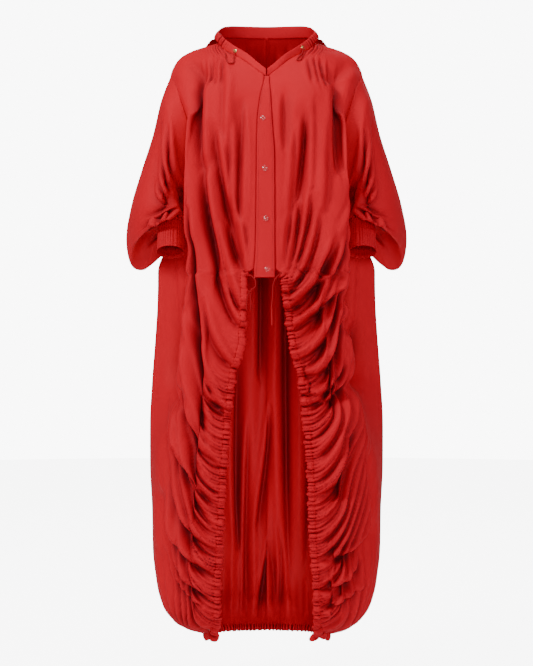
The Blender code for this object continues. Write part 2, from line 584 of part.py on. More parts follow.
def cord(name, points, collection, radius=CORD_RADIUS):
    """A thin round cord through the points."""
    points = np.array(points, float)
    knots = np.concatenate(((0.0,), np.cumsum(np.linalg.norm(np.diff(points, axis=0), axis=1))))
    count = max(6, int(knots[-1] / (radius * 5.0)))
    line = smooth(knots, points, np.linspace(0.0, knots[-1], count))
    curve = bpy.data.curves.new(name, "CURVE")
    curve.dimensions = "3D"
    curve.bevel_depth = radius
    curve.bevel_resolution = 2
    curve.use_fill_caps = True
    spline = curve.splines.new("POLY")
    spline.points.add(count - 1)
    for place, point in zip(spline.points, lifted(line)):
        place.co = (*point, 1.0)
    made = bpy.data.objects.new(name, curve)
    curve.materials.append(material(name, RED, 0.7))
    collection.objects.link(made)
    return made


# ---------------------------------------------------------------- gathered casings


def waves(count, height):
    """The pushes of a gathered edge, out and in by turns, flat at both ends."""
    push = np.where(np.arange(count) % 2, 1.0, -1.0) * height
    push[0] = push[-1] = 0.0
    return push


def leg_places(line, step):
    """Places along a polyline, counted in legs, that cut each leg into parts of one step."""
    places = []
    for leg, length in enumerate(np.linalg.norm(np.diff(line, axis=0), axis=1)):
        parts = max(1, round(length / step))
        places.extend(leg + part / parts for part in range(parts))
    return np.array(places + [len(line) - 1])


def divided(line, places):
    """Points of a polyline at places counted in legs."""
    knots = np.arange(len(line))
    return np.stack([np.interp(places, knots, line[:, axis]) for axis in range(3)], axis=1)


def evened(vectors, times):
    """Unit vectors evened out along a line."""
    for _ in range(times):
        padded = np.concatenate((vectors[:1], vectors, vectors[-1:]))
        vectors = unit(padded[:-2] + 2.0 * padded[1:-1] + padded[2:])
    return vectors


def front_casing(side, grid, collection):
    """The gathered drawcord casing along a lower front edge."""
    top = row_at(grid, BAND_FOOT)
    edge = grid[:top + 1, 0]
    foot = edge[0] + np.array(FRONT_CASING_FOOT) * (SIDES[side], 1.0, 1.0)
    inner_foot = grid[0, 1] + (foot - edge[0])
    edge = np.concatenate((foot[None], edge))
    inner = np.concatenate((inner_foot[None], grid[:top + 1, 1]))
    edge[-1] += unit(edge[-2] - edge[-1]) * FRONT_CASING_START
    places = leg_places(edge, FRONT_GATHER_PITCH / 2.0)
    points, inner = divided(edge, places), divided(inner, places)
    along = unit(np.gradient(points, axis=0))
    away = points - inner
    away = evened(unit(away - along * np.sum(away * along, axis=1, keepdims=True)), 8)
    outward = unit(np.cross(along, away)) * -SIDES[side]
    push = waves(len(points), FRONT_GATHER_HEIGHT)[:, None]
    layers = []
    for share, swell in FRONT_CASING_SWELL:
        reach = SEAM_GAP + FRONT_CASING_WIDTH * share
        layers.append(points + away * reach + outward * push * swell)
    cloth("front_casing_" + side, np.array(layers), collection)


def hem_casing(fronts, back, collection):
    """The elastic casing on the lower edges of the fronts and the back."""
    edge, inner = [], []
    for row, target in ((0, edge), (1, inner)):
        left, right = fronts["left"][row], fronts["right"][row][::-1]
        seams = [(left[-1] + back[row, 0]) / 2.0, (right[0] + back[row, -1]) / 2.0]
        target.extend([*left[:-1], seams[0], *back[row, 1:-1], seams[1], *right[1:]])
    edge, inner = np.array(edge), np.array(inner)
    edge[0] += (edge[1] - edge[0]) * 0.4
    edge[-1] += (edge[-2] - edge[-1]) * 0.4
    along = unit(np.gradient(edge, axis=0))
    away = unit(edge - inner) * 0.5 + np.array((0.0, 0.0, -0.5))
    away = evened(unit(away - along * np.sum(away * along, axis=1, keepdims=True)), 3)
    outward = unit(np.cross(away, along))
    push = waves(len(edge), HEM_GATHER_HEIGHT)[:, None]
    layers = []
    for share, swell in HEM_SWELL:
        reach = HEM_SEAM + HEM_HEIGHT * share
        layers.append(edge + away * reach + outward * push * swell)
    cloth("hem_casing", np.array(layers), collection)


# ---------------------------------------------------------------- sleeves and cuffs


def cuff_rim(along):
    """The four quarter points of the cuff's round section, so far along it."""
    axis = np.array((0.0, -math.sin(CUFF_TILT), -math.cos(CUFF_TILT)))
    forward = np.array((0.0, -math.cos(CUFF_TILT), math.sin(CUFF_TILT)))
    out = np.array((1.0, 0.0, 0.0))
    centre = np.array(CUFF_CENTRE) + axis * along
    return SleeveRing(centre + out * CUFF_RADIUS, centre + forward * CUFF_RADIUS,
                      centre - out * CUFF_RADIUS, centre - forward * CUFF_RADIUS)


def ring_angles(ring):
    """Angle of each armhole point: 0 at the shoulder's end, a half turn at the underarm."""
    half = len(ring) // 2
    closed = np.concatenate((ring, ring[:1]))
    steps = np.linalg.norm(np.diff(closed, axis=0), axis=1)
    front = np.concatenate(((0.0,), np.cumsum(steps[:half])))
    rear = np.concatenate(((0.0,), np.cumsum(steps[half:])))
    return np.concatenate((front[:-1] / front[-1], 1.0 + rear[:-1] / rear[-1])) * math.pi


def sleeve_rows(side, angle):
    """Rings of the sleeve below its armhole, down to the cuff's top."""
    cosine, sine = np.cos(angle)[:, None], np.sin(angle)[:, None]
    rows = []
    for section in SLEEVE_RINGS + (cuff_rim(0.0),):
        outer, front, inner, back = (np.array(point) for point in section)
        centre = (outer + front + inner + back) / 4.0
        out = np.where(cosine > 0, outer - centre, centre - inner)
        forward = np.where(sine > 0, front - centre, centre - back)
        ring = centre + out * cosine + forward * sine
        ring[:, 0] *= SIDES[side]
        rows.append(ring)
    return np.array(rows)


def cuff(side, collection):
    """The shirred cuff: a tube with gathers running along it."""
    turn = np.arange(2 * CUFF_GATHERS) * math.pi / CUFF_GATHERS
    wave = np.where(np.arange(2 * CUFF_GATHERS) % 2, 1.0, -1.0)
    rows = []
    for along, swell in ((0.0, 0.0003), (0.45, 0.0014), (1.0, 0.0016)):
        rim = cuff_rim(SEAM_GAP + CLOTH / 2.0 + (CUFF_LENGTH - CLOTH) * along)
        centre = (rim.outer + rim.inner) / 2.0
        size = (1.0 + wave * swell / CUFF_RADIUS)[:, None]
        ring = centre + ((rim.outer - centre) * np.cos(turn)[:, None]
                         + (rim.front - centre) * np.sin(turn)[:, None]) * size
        ring[:, 0] *= SIDES[side]
        rows.append(ring)
    cloth("cuff_" + side, np.array(rows), collection, ring=True, thickness=CUFF_WALL)


# ---------------------------------------------------------------- hood and its casing


def neckline(front):
    """The front's neckline from its point up to the shoulder seam."""
    return front[row_at(front, NECK_POINT):, 0]


def off_the_back(place, height, lift):
    """A point lying off the outside of the back, at a place across it and a row."""
    near = back_surface(np.array((place - 0.02, place, place + 0.02)),
                        np.array((height - 0.008, height - 0.004, height)))
    return near[2, 1] - grid_normals(near)[2, 1] * lift


def hood_half(side, collection):
    """One half of the laid-back hood, from the neckline over the bag to the collar."""
    columns = []
    top = BACK_SECTIONS[-1].height
    places = np.linspace(-1.0, 0.0, len(HOOD_SECTIONS))
    for place, section, collar in zip(places, HOOD_SECTIONS, COLLAR_SECTIONS):
        guides = []
        for share, lift in zip((0.0, 0.5, 1.0), HOOD_LIFTS):
            height = top + (section.lies_to - top) * share
            guides.append(off_the_back(min(max(place, -0.98), -0.02), height, lift))
        sewn, far = np.array(collar.sewn), np.array(section.far)
        guides += [section.low, far, sewn + unit(far - sewn) * HOOD_SEAM]
        guides = np.array(guides)
        if place == 0.0:
            guides[:, 0] = -SEAM_GAP / 2.0
        else:
            guides[:, 0] = -np.abs(guides[:, 0])
        columns.append(guides)
    columns = np.array(columns)
    columns[..., 0] *= -SIDES[side]
    between = smooth(np.arange(len(columns)), columns, np.linspace(0, len(columns) - 1, 9))
    rows = smooth(HOOD_KNOTS, between.transpose(1, 0, 2), np.linspace(0.0, 1.0, HOOD_ROWS + 1))
    cloth("hood_" + side, rows, collection)


def casing_line(fronts):
    """Sewn and free edge of the hood's casing, from the left front round to the right."""
    halves = []
    for side in ("left", "right"):
        mirror = np.array((SIDES[side], 1.0, 1.0))
        seam, free = neckline(fronts[side]), np.array(NECK_STRIP_FREE) * mirror
        sewn = seam + unit(free - seam) * SEAM_GAP * 2.5
        sewn[-1, 2] += CLOTH
        collar = np.array([(section.sewn, section.free) for section in COLLAR_SECTIONS]) * mirror
        halves.append(np.concatenate((np.stack((sewn, free), axis=1), collar)))
    left, right = halves
    return np.concatenate((left, right[-2::-1]))


def hood_casing(line, collection):
    """The casing round the hood's face edge, scrunched at both shoulders."""
    middle = (len(line) - 1) / 2.0
    places = np.linspace(0, len(line) - 1, (len(line) - 1) * 2 + 1)
    edges = smooth(np.arange(len(line)), line, places)
    layers = np.array([edges[:, 0] + (edges[:, 1] - edges[:, 0]) * share
                       for share in (0.0, 0.5, 1.0)])
    scrunch = np.exp(-((np.abs(places - middle) - HOOD_SCRUNCH_PLACE) / HOOD_SCRUNCH_SPREAD) ** 2)
    push = waves(len(places), HOOD_GATHER_HEIGHT) * scrunch
    layers[1:] += grid_normals(layers)[1:] * push[None, :, None]
    cloth("hood_casing", layers, collection)


# ---------------------------------------------------------------- band, snaps and eyelets


def band_edges(fronts, height):
    """Left and right edge of the button band at a height."""
    edges = []
    for side in ("left", "right"):
        grid = fronts[side]
        at = [np.interp(max(height, BAND_FOOT + 0.0001), grid[:, 0, 2], grid[:, 0, axis])
              for axis in range(2)]
        edges.append((*at, height))
    return np.array(edges)


def placket(fronts, collection):
    """The button band and the band under it, between the edges of the fronts."""
    rows = row_heights(FRONT_SECTIONS)
    heights = [BAND_BOTTOM, *rows[(rows > BAND_FOOT - 0.001) & (rows < BAND_TOP)], BAND_TOP]
    over, under = [], []
    for height in heights:
        left, right = band_edges(fronts, height)
        gap = np.array((min(SEAM_GAP * 2.0, (right[0] - left[0]) / 4.0), 0.0, 0.0))
        lift = np.array((0.0, -BAND_LIFT, 0.0))
        middle = (left + right) / 2.0
        over.append([left + lift, middle + lift * BAND_CROWN, right + lift])
        under.append([left + gap, middle, right - gap])
    cloth("placket_over", np.array(over), collection)
    cloth("placket_under", np.array(under), collection)


def round_piece(name, profile, place, facing, collection, finish):
    """A round piece: a profile of (radius, height) turned about the way it faces."""
    mesh = bpy.data.meshes.new(name)
    turned = bmesh.new()
    corners = [turned.verts.new((radius, 0.0, height)) for radius, height in profile]
    for start, end in zip(corners, corners[1:]):
        turned.edges.new((start, end))
    if profile[0][0] > 0.0:
        turned.edges.new((corners[-1], corners[0]))
    turned.to_mesh(mesh)
    turned.free()
    piece = add_object(name, mesh, finish, collection)
    screw = piece.modifiers.new("Turn", "SCREW")
    screw.steps = screw.render_steps = ROUND_STEPS
    screw.use_merge_vertices = True
    screw.merge_threshold = 0.00005
    screw.use_smooth_shade = True
    turn = Vector((0.0, 0.0, 1.0)).rotation_difference(Vector(facing))
    piece.matrix_world = Matrix.Translation(Vector(lifted(place))) @ turn.to_matrix().to_4x4()


def snaps(fronts, collection):
    """Painted snap caps on the band."""
    cap = ((0.0, 0.0024), (SNAP_RADIUS * 0.8, 0.0017), (SNAP_RADIUS, 0.0007),
           (SNAP_RADIUS * 0.92, 0.0), (0.0, 0.0))
    for number, height in enumerate(SNAP_HEIGHTS, start=1):
        low, high = band_edges(fronts, height - 0.01), band_edges(fronts, height + 0.01)
        middle = (low + high).mean(axis=0) / 2.0
        middle[0] += (number - 2.5) * SNAP_DRIFT
        facing = unit(np.cross(low[1] - low[0], (high - low).mean(axis=0)))
        clear = BAND_LIFT * BAND_CROWN + CLOTH / 2.0 + SNAP_LIFT
        round_piece("snap_cap_%d" % number, cap, middle + facing * clear, facing,
                    collection, (RED, 0.25))


def eyelets(line, collection):
    """Brass eyelets in the neckline strip, one a side; gives where the drawcord comes out."""
    profile = ((0.0052, 0.0), (0.0024, 0.0), (0.0028, 0.0011), (0.0046, 0.0012))
    middle = line.mean(axis=1)
    exits = {}
    for side, height in EYELET_HEIGHTS.items():
        half = middle[:7] if side == "left" else middle[::-1][:7]
        edges = line[:7] if side == "left" else line[::-1][:7]
        point = np.array([np.interp(height, half[:, 2], half[:, axis]) for axis in range(3)])
        near = int(np.clip(np.searchsorted(half[:, 2], height), 1, 6))
        facing = unit(np.cross(half[near] - half[near - 1], edges[near, 1] - edges[near, 0]))
        facing = facing * -np.sign(facing[1])
        round_piece("eyelet_" + side, profile, point + facing * EYELET_LIFT, facing,
                    collection, (BRASS, 0.3, 1.0))
        exits[side] = point + facing * (EYELET_LIFT + profile[-1][1] + CORD_RADIUS + CORD_CLEARANCE)
    return exits


def on_front(grid, across, height):
    """The point of a front at a distance from the centre plane and a height."""
    line = np.array([[np.interp(height, grid[:, place, 2], grid[:, place, axis]) for axis in (0, 1)]
                     for place in range(FRONT_COLUMNS * 2 // 3)])
    deep = np.interp(across, np.abs(line[:, 0]), line[:, 1])
    return np.array((across * np.sign(line[-1, 0]), deep, height))


def cords(fronts, exits, collection):
    """The drawcords where they show: two loops at the neck, free ends and knots at the waist."""
    lift = np.array((0.0, -(CLOTH / 2.0 + CORD_RADIUS + CORD_CLEARANCE) * 1.6, 0.0))
    for side, loop in HOOD_LOOPS.items():
        hanging = [on_front(fronts[side], *place) + lift for place in loop]
        cord("cord_hood_" + side, [exits[side], *hanging], collection)
    for name, path in WAIST_CORDS.items():
        cord("cord_waist_" + name, path, collection)
    for side, place in KNOTS.items():
        half = KNOT_HEIGHT / 2.0
        profile = ((0.0, half), (KNOT_RADIUS * 0.75, half * 0.7), (KNOT_RADIUS, 0.0),
                   (KNOT_RADIUS * 0.75, -half * 0.7), (0.0, -half))
        round_piece("knot_" + side, profile, place, (0.0, 0.0, 1.0), collection, (RED, 0.7))


def build():
    """Makes every piece of the garment."""
    for stale in list(bpy.data.objects):
        bpy.data.objects.remove(stale)
    garment = bpy.data.collections.new("windbreaker")
    bpy.context.scene.collection.children.link(garment)

    fronts = {side: front_grid(side) for side in SIDES}
    back = back_grid()
    armholes = {}
    sleeves = {}
    for side in SIDES:
        ring = armhole_ring(fronts[side], back, side)
        sleeves[side] = sleeve_rows(side, ring_angles(ring))
        armholes[side] = (ring, sleeves[side][0])
    open_seams(fronts, back, armholes)

    for side in SIDES:
        cloth("front_" + side, fronts[side], garment)
        front_casing(side, fronts[side], garment)
        rows = np.concatenate((armholes[side][0][None], sleeves[side]))
        cloth("sleeve_" + side, rows, garment, ring=True)
        cuff(side, garment)
        hood_half(side, garment)
    cloth("back", back, garment)
    hem_casing(fronts, back, garment)
    line = casing_line(fronts)
    hood_casing(line, garment)
    placket(fronts, garment)
    snaps(fronts, garment)
    cords(fronts, eyelets(line, garment), garment)


build()
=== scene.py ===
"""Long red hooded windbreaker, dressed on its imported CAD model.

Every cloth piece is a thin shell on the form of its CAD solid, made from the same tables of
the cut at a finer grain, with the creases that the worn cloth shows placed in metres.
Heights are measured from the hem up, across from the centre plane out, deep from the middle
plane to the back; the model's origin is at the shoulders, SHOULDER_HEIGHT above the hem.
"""
import logging
import math
from collections.abc import Sequence
from dataclasses import dataclass
from enum import Enum
from typing import NamedTuple

import bmesh
import bpy
import numpy as np
from mathutils import Matrix, Vector


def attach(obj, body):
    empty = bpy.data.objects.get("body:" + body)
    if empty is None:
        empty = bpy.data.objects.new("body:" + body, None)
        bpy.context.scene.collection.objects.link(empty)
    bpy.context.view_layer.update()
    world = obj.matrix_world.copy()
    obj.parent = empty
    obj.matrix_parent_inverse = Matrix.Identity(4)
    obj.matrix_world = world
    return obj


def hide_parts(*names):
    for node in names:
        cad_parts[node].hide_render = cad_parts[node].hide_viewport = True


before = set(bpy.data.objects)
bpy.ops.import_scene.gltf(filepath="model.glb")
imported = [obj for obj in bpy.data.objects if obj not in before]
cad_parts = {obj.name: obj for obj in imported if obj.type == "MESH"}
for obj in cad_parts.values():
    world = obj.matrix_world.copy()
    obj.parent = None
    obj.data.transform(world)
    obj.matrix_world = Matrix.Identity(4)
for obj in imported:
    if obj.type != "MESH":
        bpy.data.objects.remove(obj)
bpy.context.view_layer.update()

LOG = logging.getLogger("windbreaker")
Array = np.ndarray
Material = bpy.types.Material
Piece = bpy.types.Object

# Driving sizes, in metres; heights are from the hem up.
SHOULDER_HEIGHT = 1.360       # the model's origin
PANEL_FOOT = 0.018            # lowest row of the fronts and the back, at the hem's casing
PANEL_TOP = 1.380             # their highest row, at the neck
BAND_FOOT = 0.852             # where the button band ends and the front casings begin
UNDERARM = 0.985              # foot of the armhole
SHOULDER_END = 1.303          # its top
CASING_WIDTH = 0.017          # of the front casings
HEM_HEIGHT = 0.018            # of the hem's casing
CUFF_RADIUS = 0.030
CUFF_LENGTH = 0.070
CUFF_TILT = math.radians(25.0)               # the cuff's mouth leans forwards
CUFF_CENTRE = (0.2165, -0.0696, 0.9548)      # middle of its sewn end
BAND_LIFT = 0.0024            # how far the upper band's edges lie in front of the fronts
BAND_CROWN = 0.3              # how much further its middle lies, as a share of that
BAND_BOTTOM = 0.831
BAND_TOP = 1.2872
GATHER_PITCH = 0.0085         # one gather of the drawcord casings
SCRUNCH_PITCH = 0.0105        # one gather of the hood, the collar and the back's hem
CORD_RADIUS = 0.0015
SHELL = 0.0008                # wall of the dressed cloth
SEAM_HOLD = 0.022             # a sewn seam keeps the cloth flat this far
FOLD_HOLD = 0.060             # the largest folds run out over this length before an edge
TINY = 1e-12                  # keeps a division from 0


class Side(Enum):
    """The two sides as the front view shows them; the value is the sign of X."""

    LEFT = -1.0
    RIGHT = 1.0

    @property
    def word(self) -> str:
        """The side's name as the nodes carry it."""
        return self.name.lower()


class View(Enum):
    """The direction from which a crease is placed; the value points at the viewer."""

    FRONT = (0.0, -1.0, 0.0)
    BACK = (0.0, 1.0, 0.0)


class FrontSection(NamedTuple):
    """One height of a front: its edge, front, corner and nook, across and deep."""

    height: float
    edge_left: float
    edge_right: float
    edge_deep: float
    front: float
    front_deep: float
    corner: float
    corner_deep: float
    nook: float
    nook_deep: float


class SideSeam(NamedTuple):
    """One height of the seam that front and back share, or of the armhole's two edges."""

    height: float
    front: float
    front_deep: float
    back: float
    back_deep: float


class BackSection(NamedTuple):
    """One height of the back: flank, blade and centre, and its sag, which only the neck has."""

    height: float
    flank: float
    flank_deep: float
    blade: float
    blade_deep: float
    centre_deep: float
    dip: float = 0.0


class SleeveRing(NamedTuple):
    """One ring of a sleeve: its outer, front, inner and back point."""

    outer: Sequence[float]
    front: Sequence[float]
    inner: Sequence[float]
    back: Sequence[float]


class CasingSection(NamedTuple):
    """One place of the hood's casing: its sewn and its free edge."""

    sewn: Sequence[float]
    free: Sequence[float]


class HoodSection(NamedTuple):
    """One upright section of the laid-back hood."""

    lies_to: float
    low: Sequence[float]
    far: Sequence[float]


class Crease(NamedTuple):
    """A soft trough: start, bend and end as across and height, then depth and half width."""

    start: float
    start_high: float
    bend: float
    bend_high: float
    end: float
    end_high: float
    depth: float
    width: float


# The cut, in rows from the hem up.
FRONT_SECTIONS = tuple(FrontSection(*row) for row in (
    (0.018, 0.1260, 0.1250, -0.104, 0.138, -0.070, 0.142, -0.042, 0.144, -0.016),
    (0.034, 0.1210, 0.1200, -0.134, 0.148, -0.118, 0.168, -0.080, 0.181, -0.036),
    (0.055, 0.1170, 0.1180, -0.156, 0.156, -0.152, 0.190, -0.112, 0.210, -0.052),
    (0.090, 0.1145, 0.1175, -0.178, 0.160, -0.180, 0.207, -0.138, 0.234, -0.068),
    (0.145, 0.1135, 0.1155, -0.193, 0.165, -0.198, 0.220, -0.152, 0.248, -0.078),
    (0.210, 0.1110, 0.1110, -0.202, 0.165, -0.207, 0.225, -0.160, 0.253, -0.082),
    (0.300, 0.1065, 0.1070, -0.207, 0.160, -0.212, 0.226, -0.162, 0.254, -0.082),
    (0.400, 0.1010, 0.1030, -0.206, 0.155, -0.212, 0.222, -0.160, 0.249, -0.080),
    (0.500, 0.0930, 0.0950, -0.203, 0.148, -0.210, 0.212, -0.156, 0.228, -0.076),
    (0.600, 0.0830, 0.0830, -0.200, 0.140, -0.207, 0.198, -0.152, 0.204, -0.072),
    (0.700, 0.0600, 0.0600, -0.197, 0.128, -0.203, 0.190, -0.150, 0.181, -0.070),
    (0.780, 0.0560, 0.0500, -0.194, 0.115, -0.199, 0.186, -0.150, 0.167, -0.068),
    (0.835, 0.0560, 0.0440, -0.192, 0.112, -0.197, 0.184, -0.152, 0.159, -0.065),
    (0.852, 0.0278, 0.0185, -0.192, 0.105, -0.196, 0.184, -0.152, 0.157, -0.065),
    (0.900, 0.0242, 0.0180, -0.190, 0.098, -0.194, 0.184, -0.155, 0.156, -0.065),
    (0.945, 0.0234, 0.0178, -0.188, 0.095, -0.191, 0.184, -0.155, 0.156, -0.066),
    (0.985, 0.0228, 0.0177, -0.186, 0.094, -0.189, 0.184, -0.153, 0.157, -0.072),
    (1.008, 0.0225, 0.0176, -0.185, 0.093, -0.188, 0.184, -0.152, 0.158, -0.088),
    (1.040, 0.0222, 0.0175, -0.183, 0.092, -0.186, 0.184, -0.150, 0.160, -0.105),
    (1.110, 0.0215, 0.0168, -0.177, 0.090, -0.180, 0.184, -0.143, 0.167, -0.113),
    (1.180, 0.0200, 0.0120, -0.162, 0.090, -0.166, 0.181, -0.127, 0.176, -0.106),
    (1.239, 0.0135, 0.0088, -0.138, 0.088, -0.144, 0.165, -0.117, 0.186, -0.092),
    (1.288, 0.0045, 0.0055, -0.107, 0.090, -0.112, 0.160, -0.088, 0.197, -0.055),
    (1.303, 0.0217, 0.0217, -0.098, 0.095, -0.100, 0.158, -0.075, 0.200, -0.040),
    (1.330, 0.0537, 0.0500, -0.072, 0.105, -0.070, 0.155, -0.045, 0.189, -0.018),
    (1.348, 0.0796, 0.0760, -0.052, 0.115, -0.043, 0.147, -0.027, 0.178, -0.006),
    (1.365, 0.1010, 0.1000, -0.024, 0.120, -0.017, 0.139, -0.006, 0.156, 0.007),
    (1.380, 0.1100, 0.1100, -0.005, 0.1135, 0.001, 0.117, 0.0065, 0.1205, 0.012),
))
SIDE_SEAM = tuple(SideSeam(*row) for row in (
    (0.018, 0.1450, 0.010, 0.1450, 0.010),
    (0.034, 0.1840, 0.007, 0.1840, 0.007),
    (0.055, 0.2150, 0.005, 0.2150, 0.005),
    (0.090, 0.2415, 0.005, 0.2415, 0.005),
    (0.145, 0.2565, 0.005, 0.2565, 0.005),
    (0.210, 0.2635, 0.005, 0.2635, 0.005),
    (0.300, 0.2655, 0.010, 0.2655, 0.010),
    (0.400, 0.2705, 0.015, 0.2705, 0.015),
    (0.500, 0.2715, 0.025, 0.2715, 0.025),
    (0.600, 0.2670, 0.035, 0.2670, 0.035),
    (0.700, 0.2600, 0.043, 0.2600, 0.043),
    (0.780, 0.2555, 0.046, 0.2555, 0.046),
    (0.835, 0.2545, 0.047, 0.2545, 0.047),
    (0.852, 0.2545, 0.047, 0.2545, 0.047),
    (0.885, 0.2450, 0.044, 0.2450, 0.044),
    (0.920, 0.2160, 0.029, 0.2160, 0.029),
    (0.950, 0.1960, 0.013, 0.1960, 0.013),
    (0.985, 0.1940, 0.000, 0.1940, 0.000),
    (1.008, 0.1830, -0.034, 0.1870, 0.028),
    (1.040, 0.1700, -0.060, 0.1780, 0.050),
    (1.110, 0.1680, -0.085, 0.1760, 0.075),
    (1.180, 0.1760, -0.085, 0.1820, 0.078),
    (1.239, 0.1940, -0.070, 0.1960, 0.065),
    (1.288, 0.2120, -0.026, 0.2120, 0.030),
    (1.303, 0.2225, 0.004, 0.2225, 0.004),
    (1.330, 0.2135, 0.010, 0.2135, 0.010),
    (1.348, 0.2004, 0.014, 0.2004, 0.014),
    (1.365, 0.1720, 0.017, 0.1720, 0.017),
    (1.380, 0.1240, 0.018, 0.1240, 0.018),
))
BACK_SECTIONS = tuple(BackSection(*row) for row in (
    (0.018, 0.135, 0.050, 0.084, 0.090, 0.104),
    (0.034, 0.170, 0.063, 0.100, 0.117, 0.132),
    (0.055, 0.197, 0.075, 0.113, 0.139, 0.155),
    (0.090, 0.220, 0.088, 0.124, 0.160, 0.178),
    (0.145, 0.233, 0.098, 0.130, 0.172, 0.192),
    (0.210, 0.239, 0.102, 0.132, 0.178, 0.200),
    (0.300, 0.241, 0.106, 0.132, 0.182, 0.203),
    (0.400, 0.244, 0.110, 0.130, 0.183, 0.203),
    (0.500, 0.243, 0.113, 0.130, 0.180, 0.200),
    (0.600, 0.238, 0.114, 0.128, 0.175, 0.195),
    (0.700, 0.231, 0.114, 0.125, 0.170, 0.188),
    (0.780, 0.226, 0.113, 0.122, 0.165, 0.183),
    (0.852, 0.223, 0.112, 0.120, 0.162, 0.180),
    (0.900, 0.221, 0.110, 0.118, 0.158, 0.176),
    (0.945, 0.202, 0.100, 0.117, 0.156, 0.174),
    (0.985, 0.185, 0.092, 0.114, 0.153, 0.171),
    (1.008, 0.178, 0.094, 0.112, 0.151, 0.169),
    (1.040, 0.166, 0.100, 0.110, 0.148, 0.166),
    (1.110, 0.163, 0.108, 0.105, 0.143, 0.160),
    (1.180, 0.164, 0.102, 0.100, 0.136, 0.150),
    (1.239, 0.168, 0.088, 0.098, 0.122, 0.136),
    (1.288, 0.175, 0.060, 0.099, 0.099, 0.115, 0.012),
    (1.303, 0.178, 0.048, 0.100, 0.090, 0.108, 0.020),
    (1.330, 0.166, 0.041, 0.098, 0.072, 0.094, 0.035),
    (1.348, 0.156, 0.036, 0.094, 0.062, 0.085, 0.046),
    (1.365, 0.138, 0.033, 0.088, 0.057, 0.077, 0.055),
    (1.380, 0.112, 0.036, 0.078, 0.056, 0.070, 0.062),
))
SLEEVE_RINGS = tuple(SleeveRing(*row) for row in (
    ((0.2430, 0.005, 1.250), (0.2050, -0.100, 1.150),
     (0.2050, -0.0087, 0.9812), (0.2220, 0.085, 1.130)),
    ((0.2640, 0.008, 1.165), (0.2200, -0.110, 1.105),
     (0.2080, -0.0174, 0.9775), (0.2460, 0.082, 1.055)),
    ((0.2900, 0.010, 1.085), (0.2300, -0.117, 1.060),
     (0.2070, -0.0261, 0.9737), (0.2680, 0.078, 0.990)),
    ((0.3120, 0.010, 1.010), (0.2380, -0.122, 1.020),
     (0.2040, -0.0348, 0.9699), (0.2880, 0.072, 0.932)),
    ((0.3210, 0.010, 0.955), (0.2410, -0.124, 0.985),
     (0.2000, -0.0435, 0.9661), (0.2950, 0.066, 0.882)),
    ((0.3100, 0.006, 0.906), (0.2390, -0.121, 0.952),
     (0.1950, -0.0522, 0.9624), (0.2850, 0.051, 0.858)),
    ((0.2700, -0.028, 0.950), (0.2270, -0.109, 0.976),
     (0.1905, -0.0609, 0.9586), (0.2480, -0.010, 0.932)),
))
COLLAR_SECTIONS = tuple(CasingSection(*row) for row in (
    ((0.1195, 0.035, 1.3960), (0.1115, 0.033, 1.4130)),
    ((0.1090, 0.075, 1.4050), (0.1035, 0.072, 1.4300)),
    ((0.0800, 0.104, 1.4110), (0.0770, 0.100, 1.4385)),
    ((0.0400, 0.118, 1.4120), (0.0385, 0.114, 1.4400)),
    ((0.0000, 0.122, 1.4120), (0.0000, 0.118, 1.4400)),
))
NECK_STRIP_FREE = ((0.0015, -0.106, 1.3045), (0.0160, -0.094, 1.3175), (0.0430, -0.075, 1.343),
                   (0.0690, -0.055, 1.362), (0.0900, -0.028, 1.3810), (0.1010, -0.010, 1.3950))
HOOD_SECTIONS = tuple(HoodSection(*row) for row in (
    (1.3740, (0.138, 0.042, 1.3850), (0.128, 0.048, 1.3970)),
    (1.3300, (0.158, 0.105, 1.3000), (0.147, 0.112, 1.3560)),
    (1.2500, (0.135, 0.155, 1.2050), (0.132, 0.165, 1.3150)),
    (1.2000, (0.075, 0.184, 1.1620), (0.073, 0.196, 1.2850)),
    (1.1850, (0.000, 0.192, 1.1450), (0.000, 0.206, 1.2750)),
))
NECK_HEIGHTS = (1.288, 1.303, 1.330, 1.348, 1.365, 1.380)    # where the neck strip is sewn on
HOOD_LIFTS = (0.0024, 0.0070, 0.0100)        # of the hood off the back

# Places of the guides, from 0 to 1: across a front from its edge, across half of the back from
# its side seam, and along the hood from the neckline.
FRONT_KNOTS = (0.0, 0.24, 0.50, 0.72, 1.0)
BACK_KNOTS = (0.0, 0.25, 0.60, 1.0)
HOOD_KNOTS = (0.0, 0.16, 0.32, 0.46, 0.72, 1.0)


def creases(rows: Sequence[Sequence[float]]) -> tuple[Crease, ...]:
    """Rows of numbers as creases."""
    return tuple(Crease(*row) for row in rows)


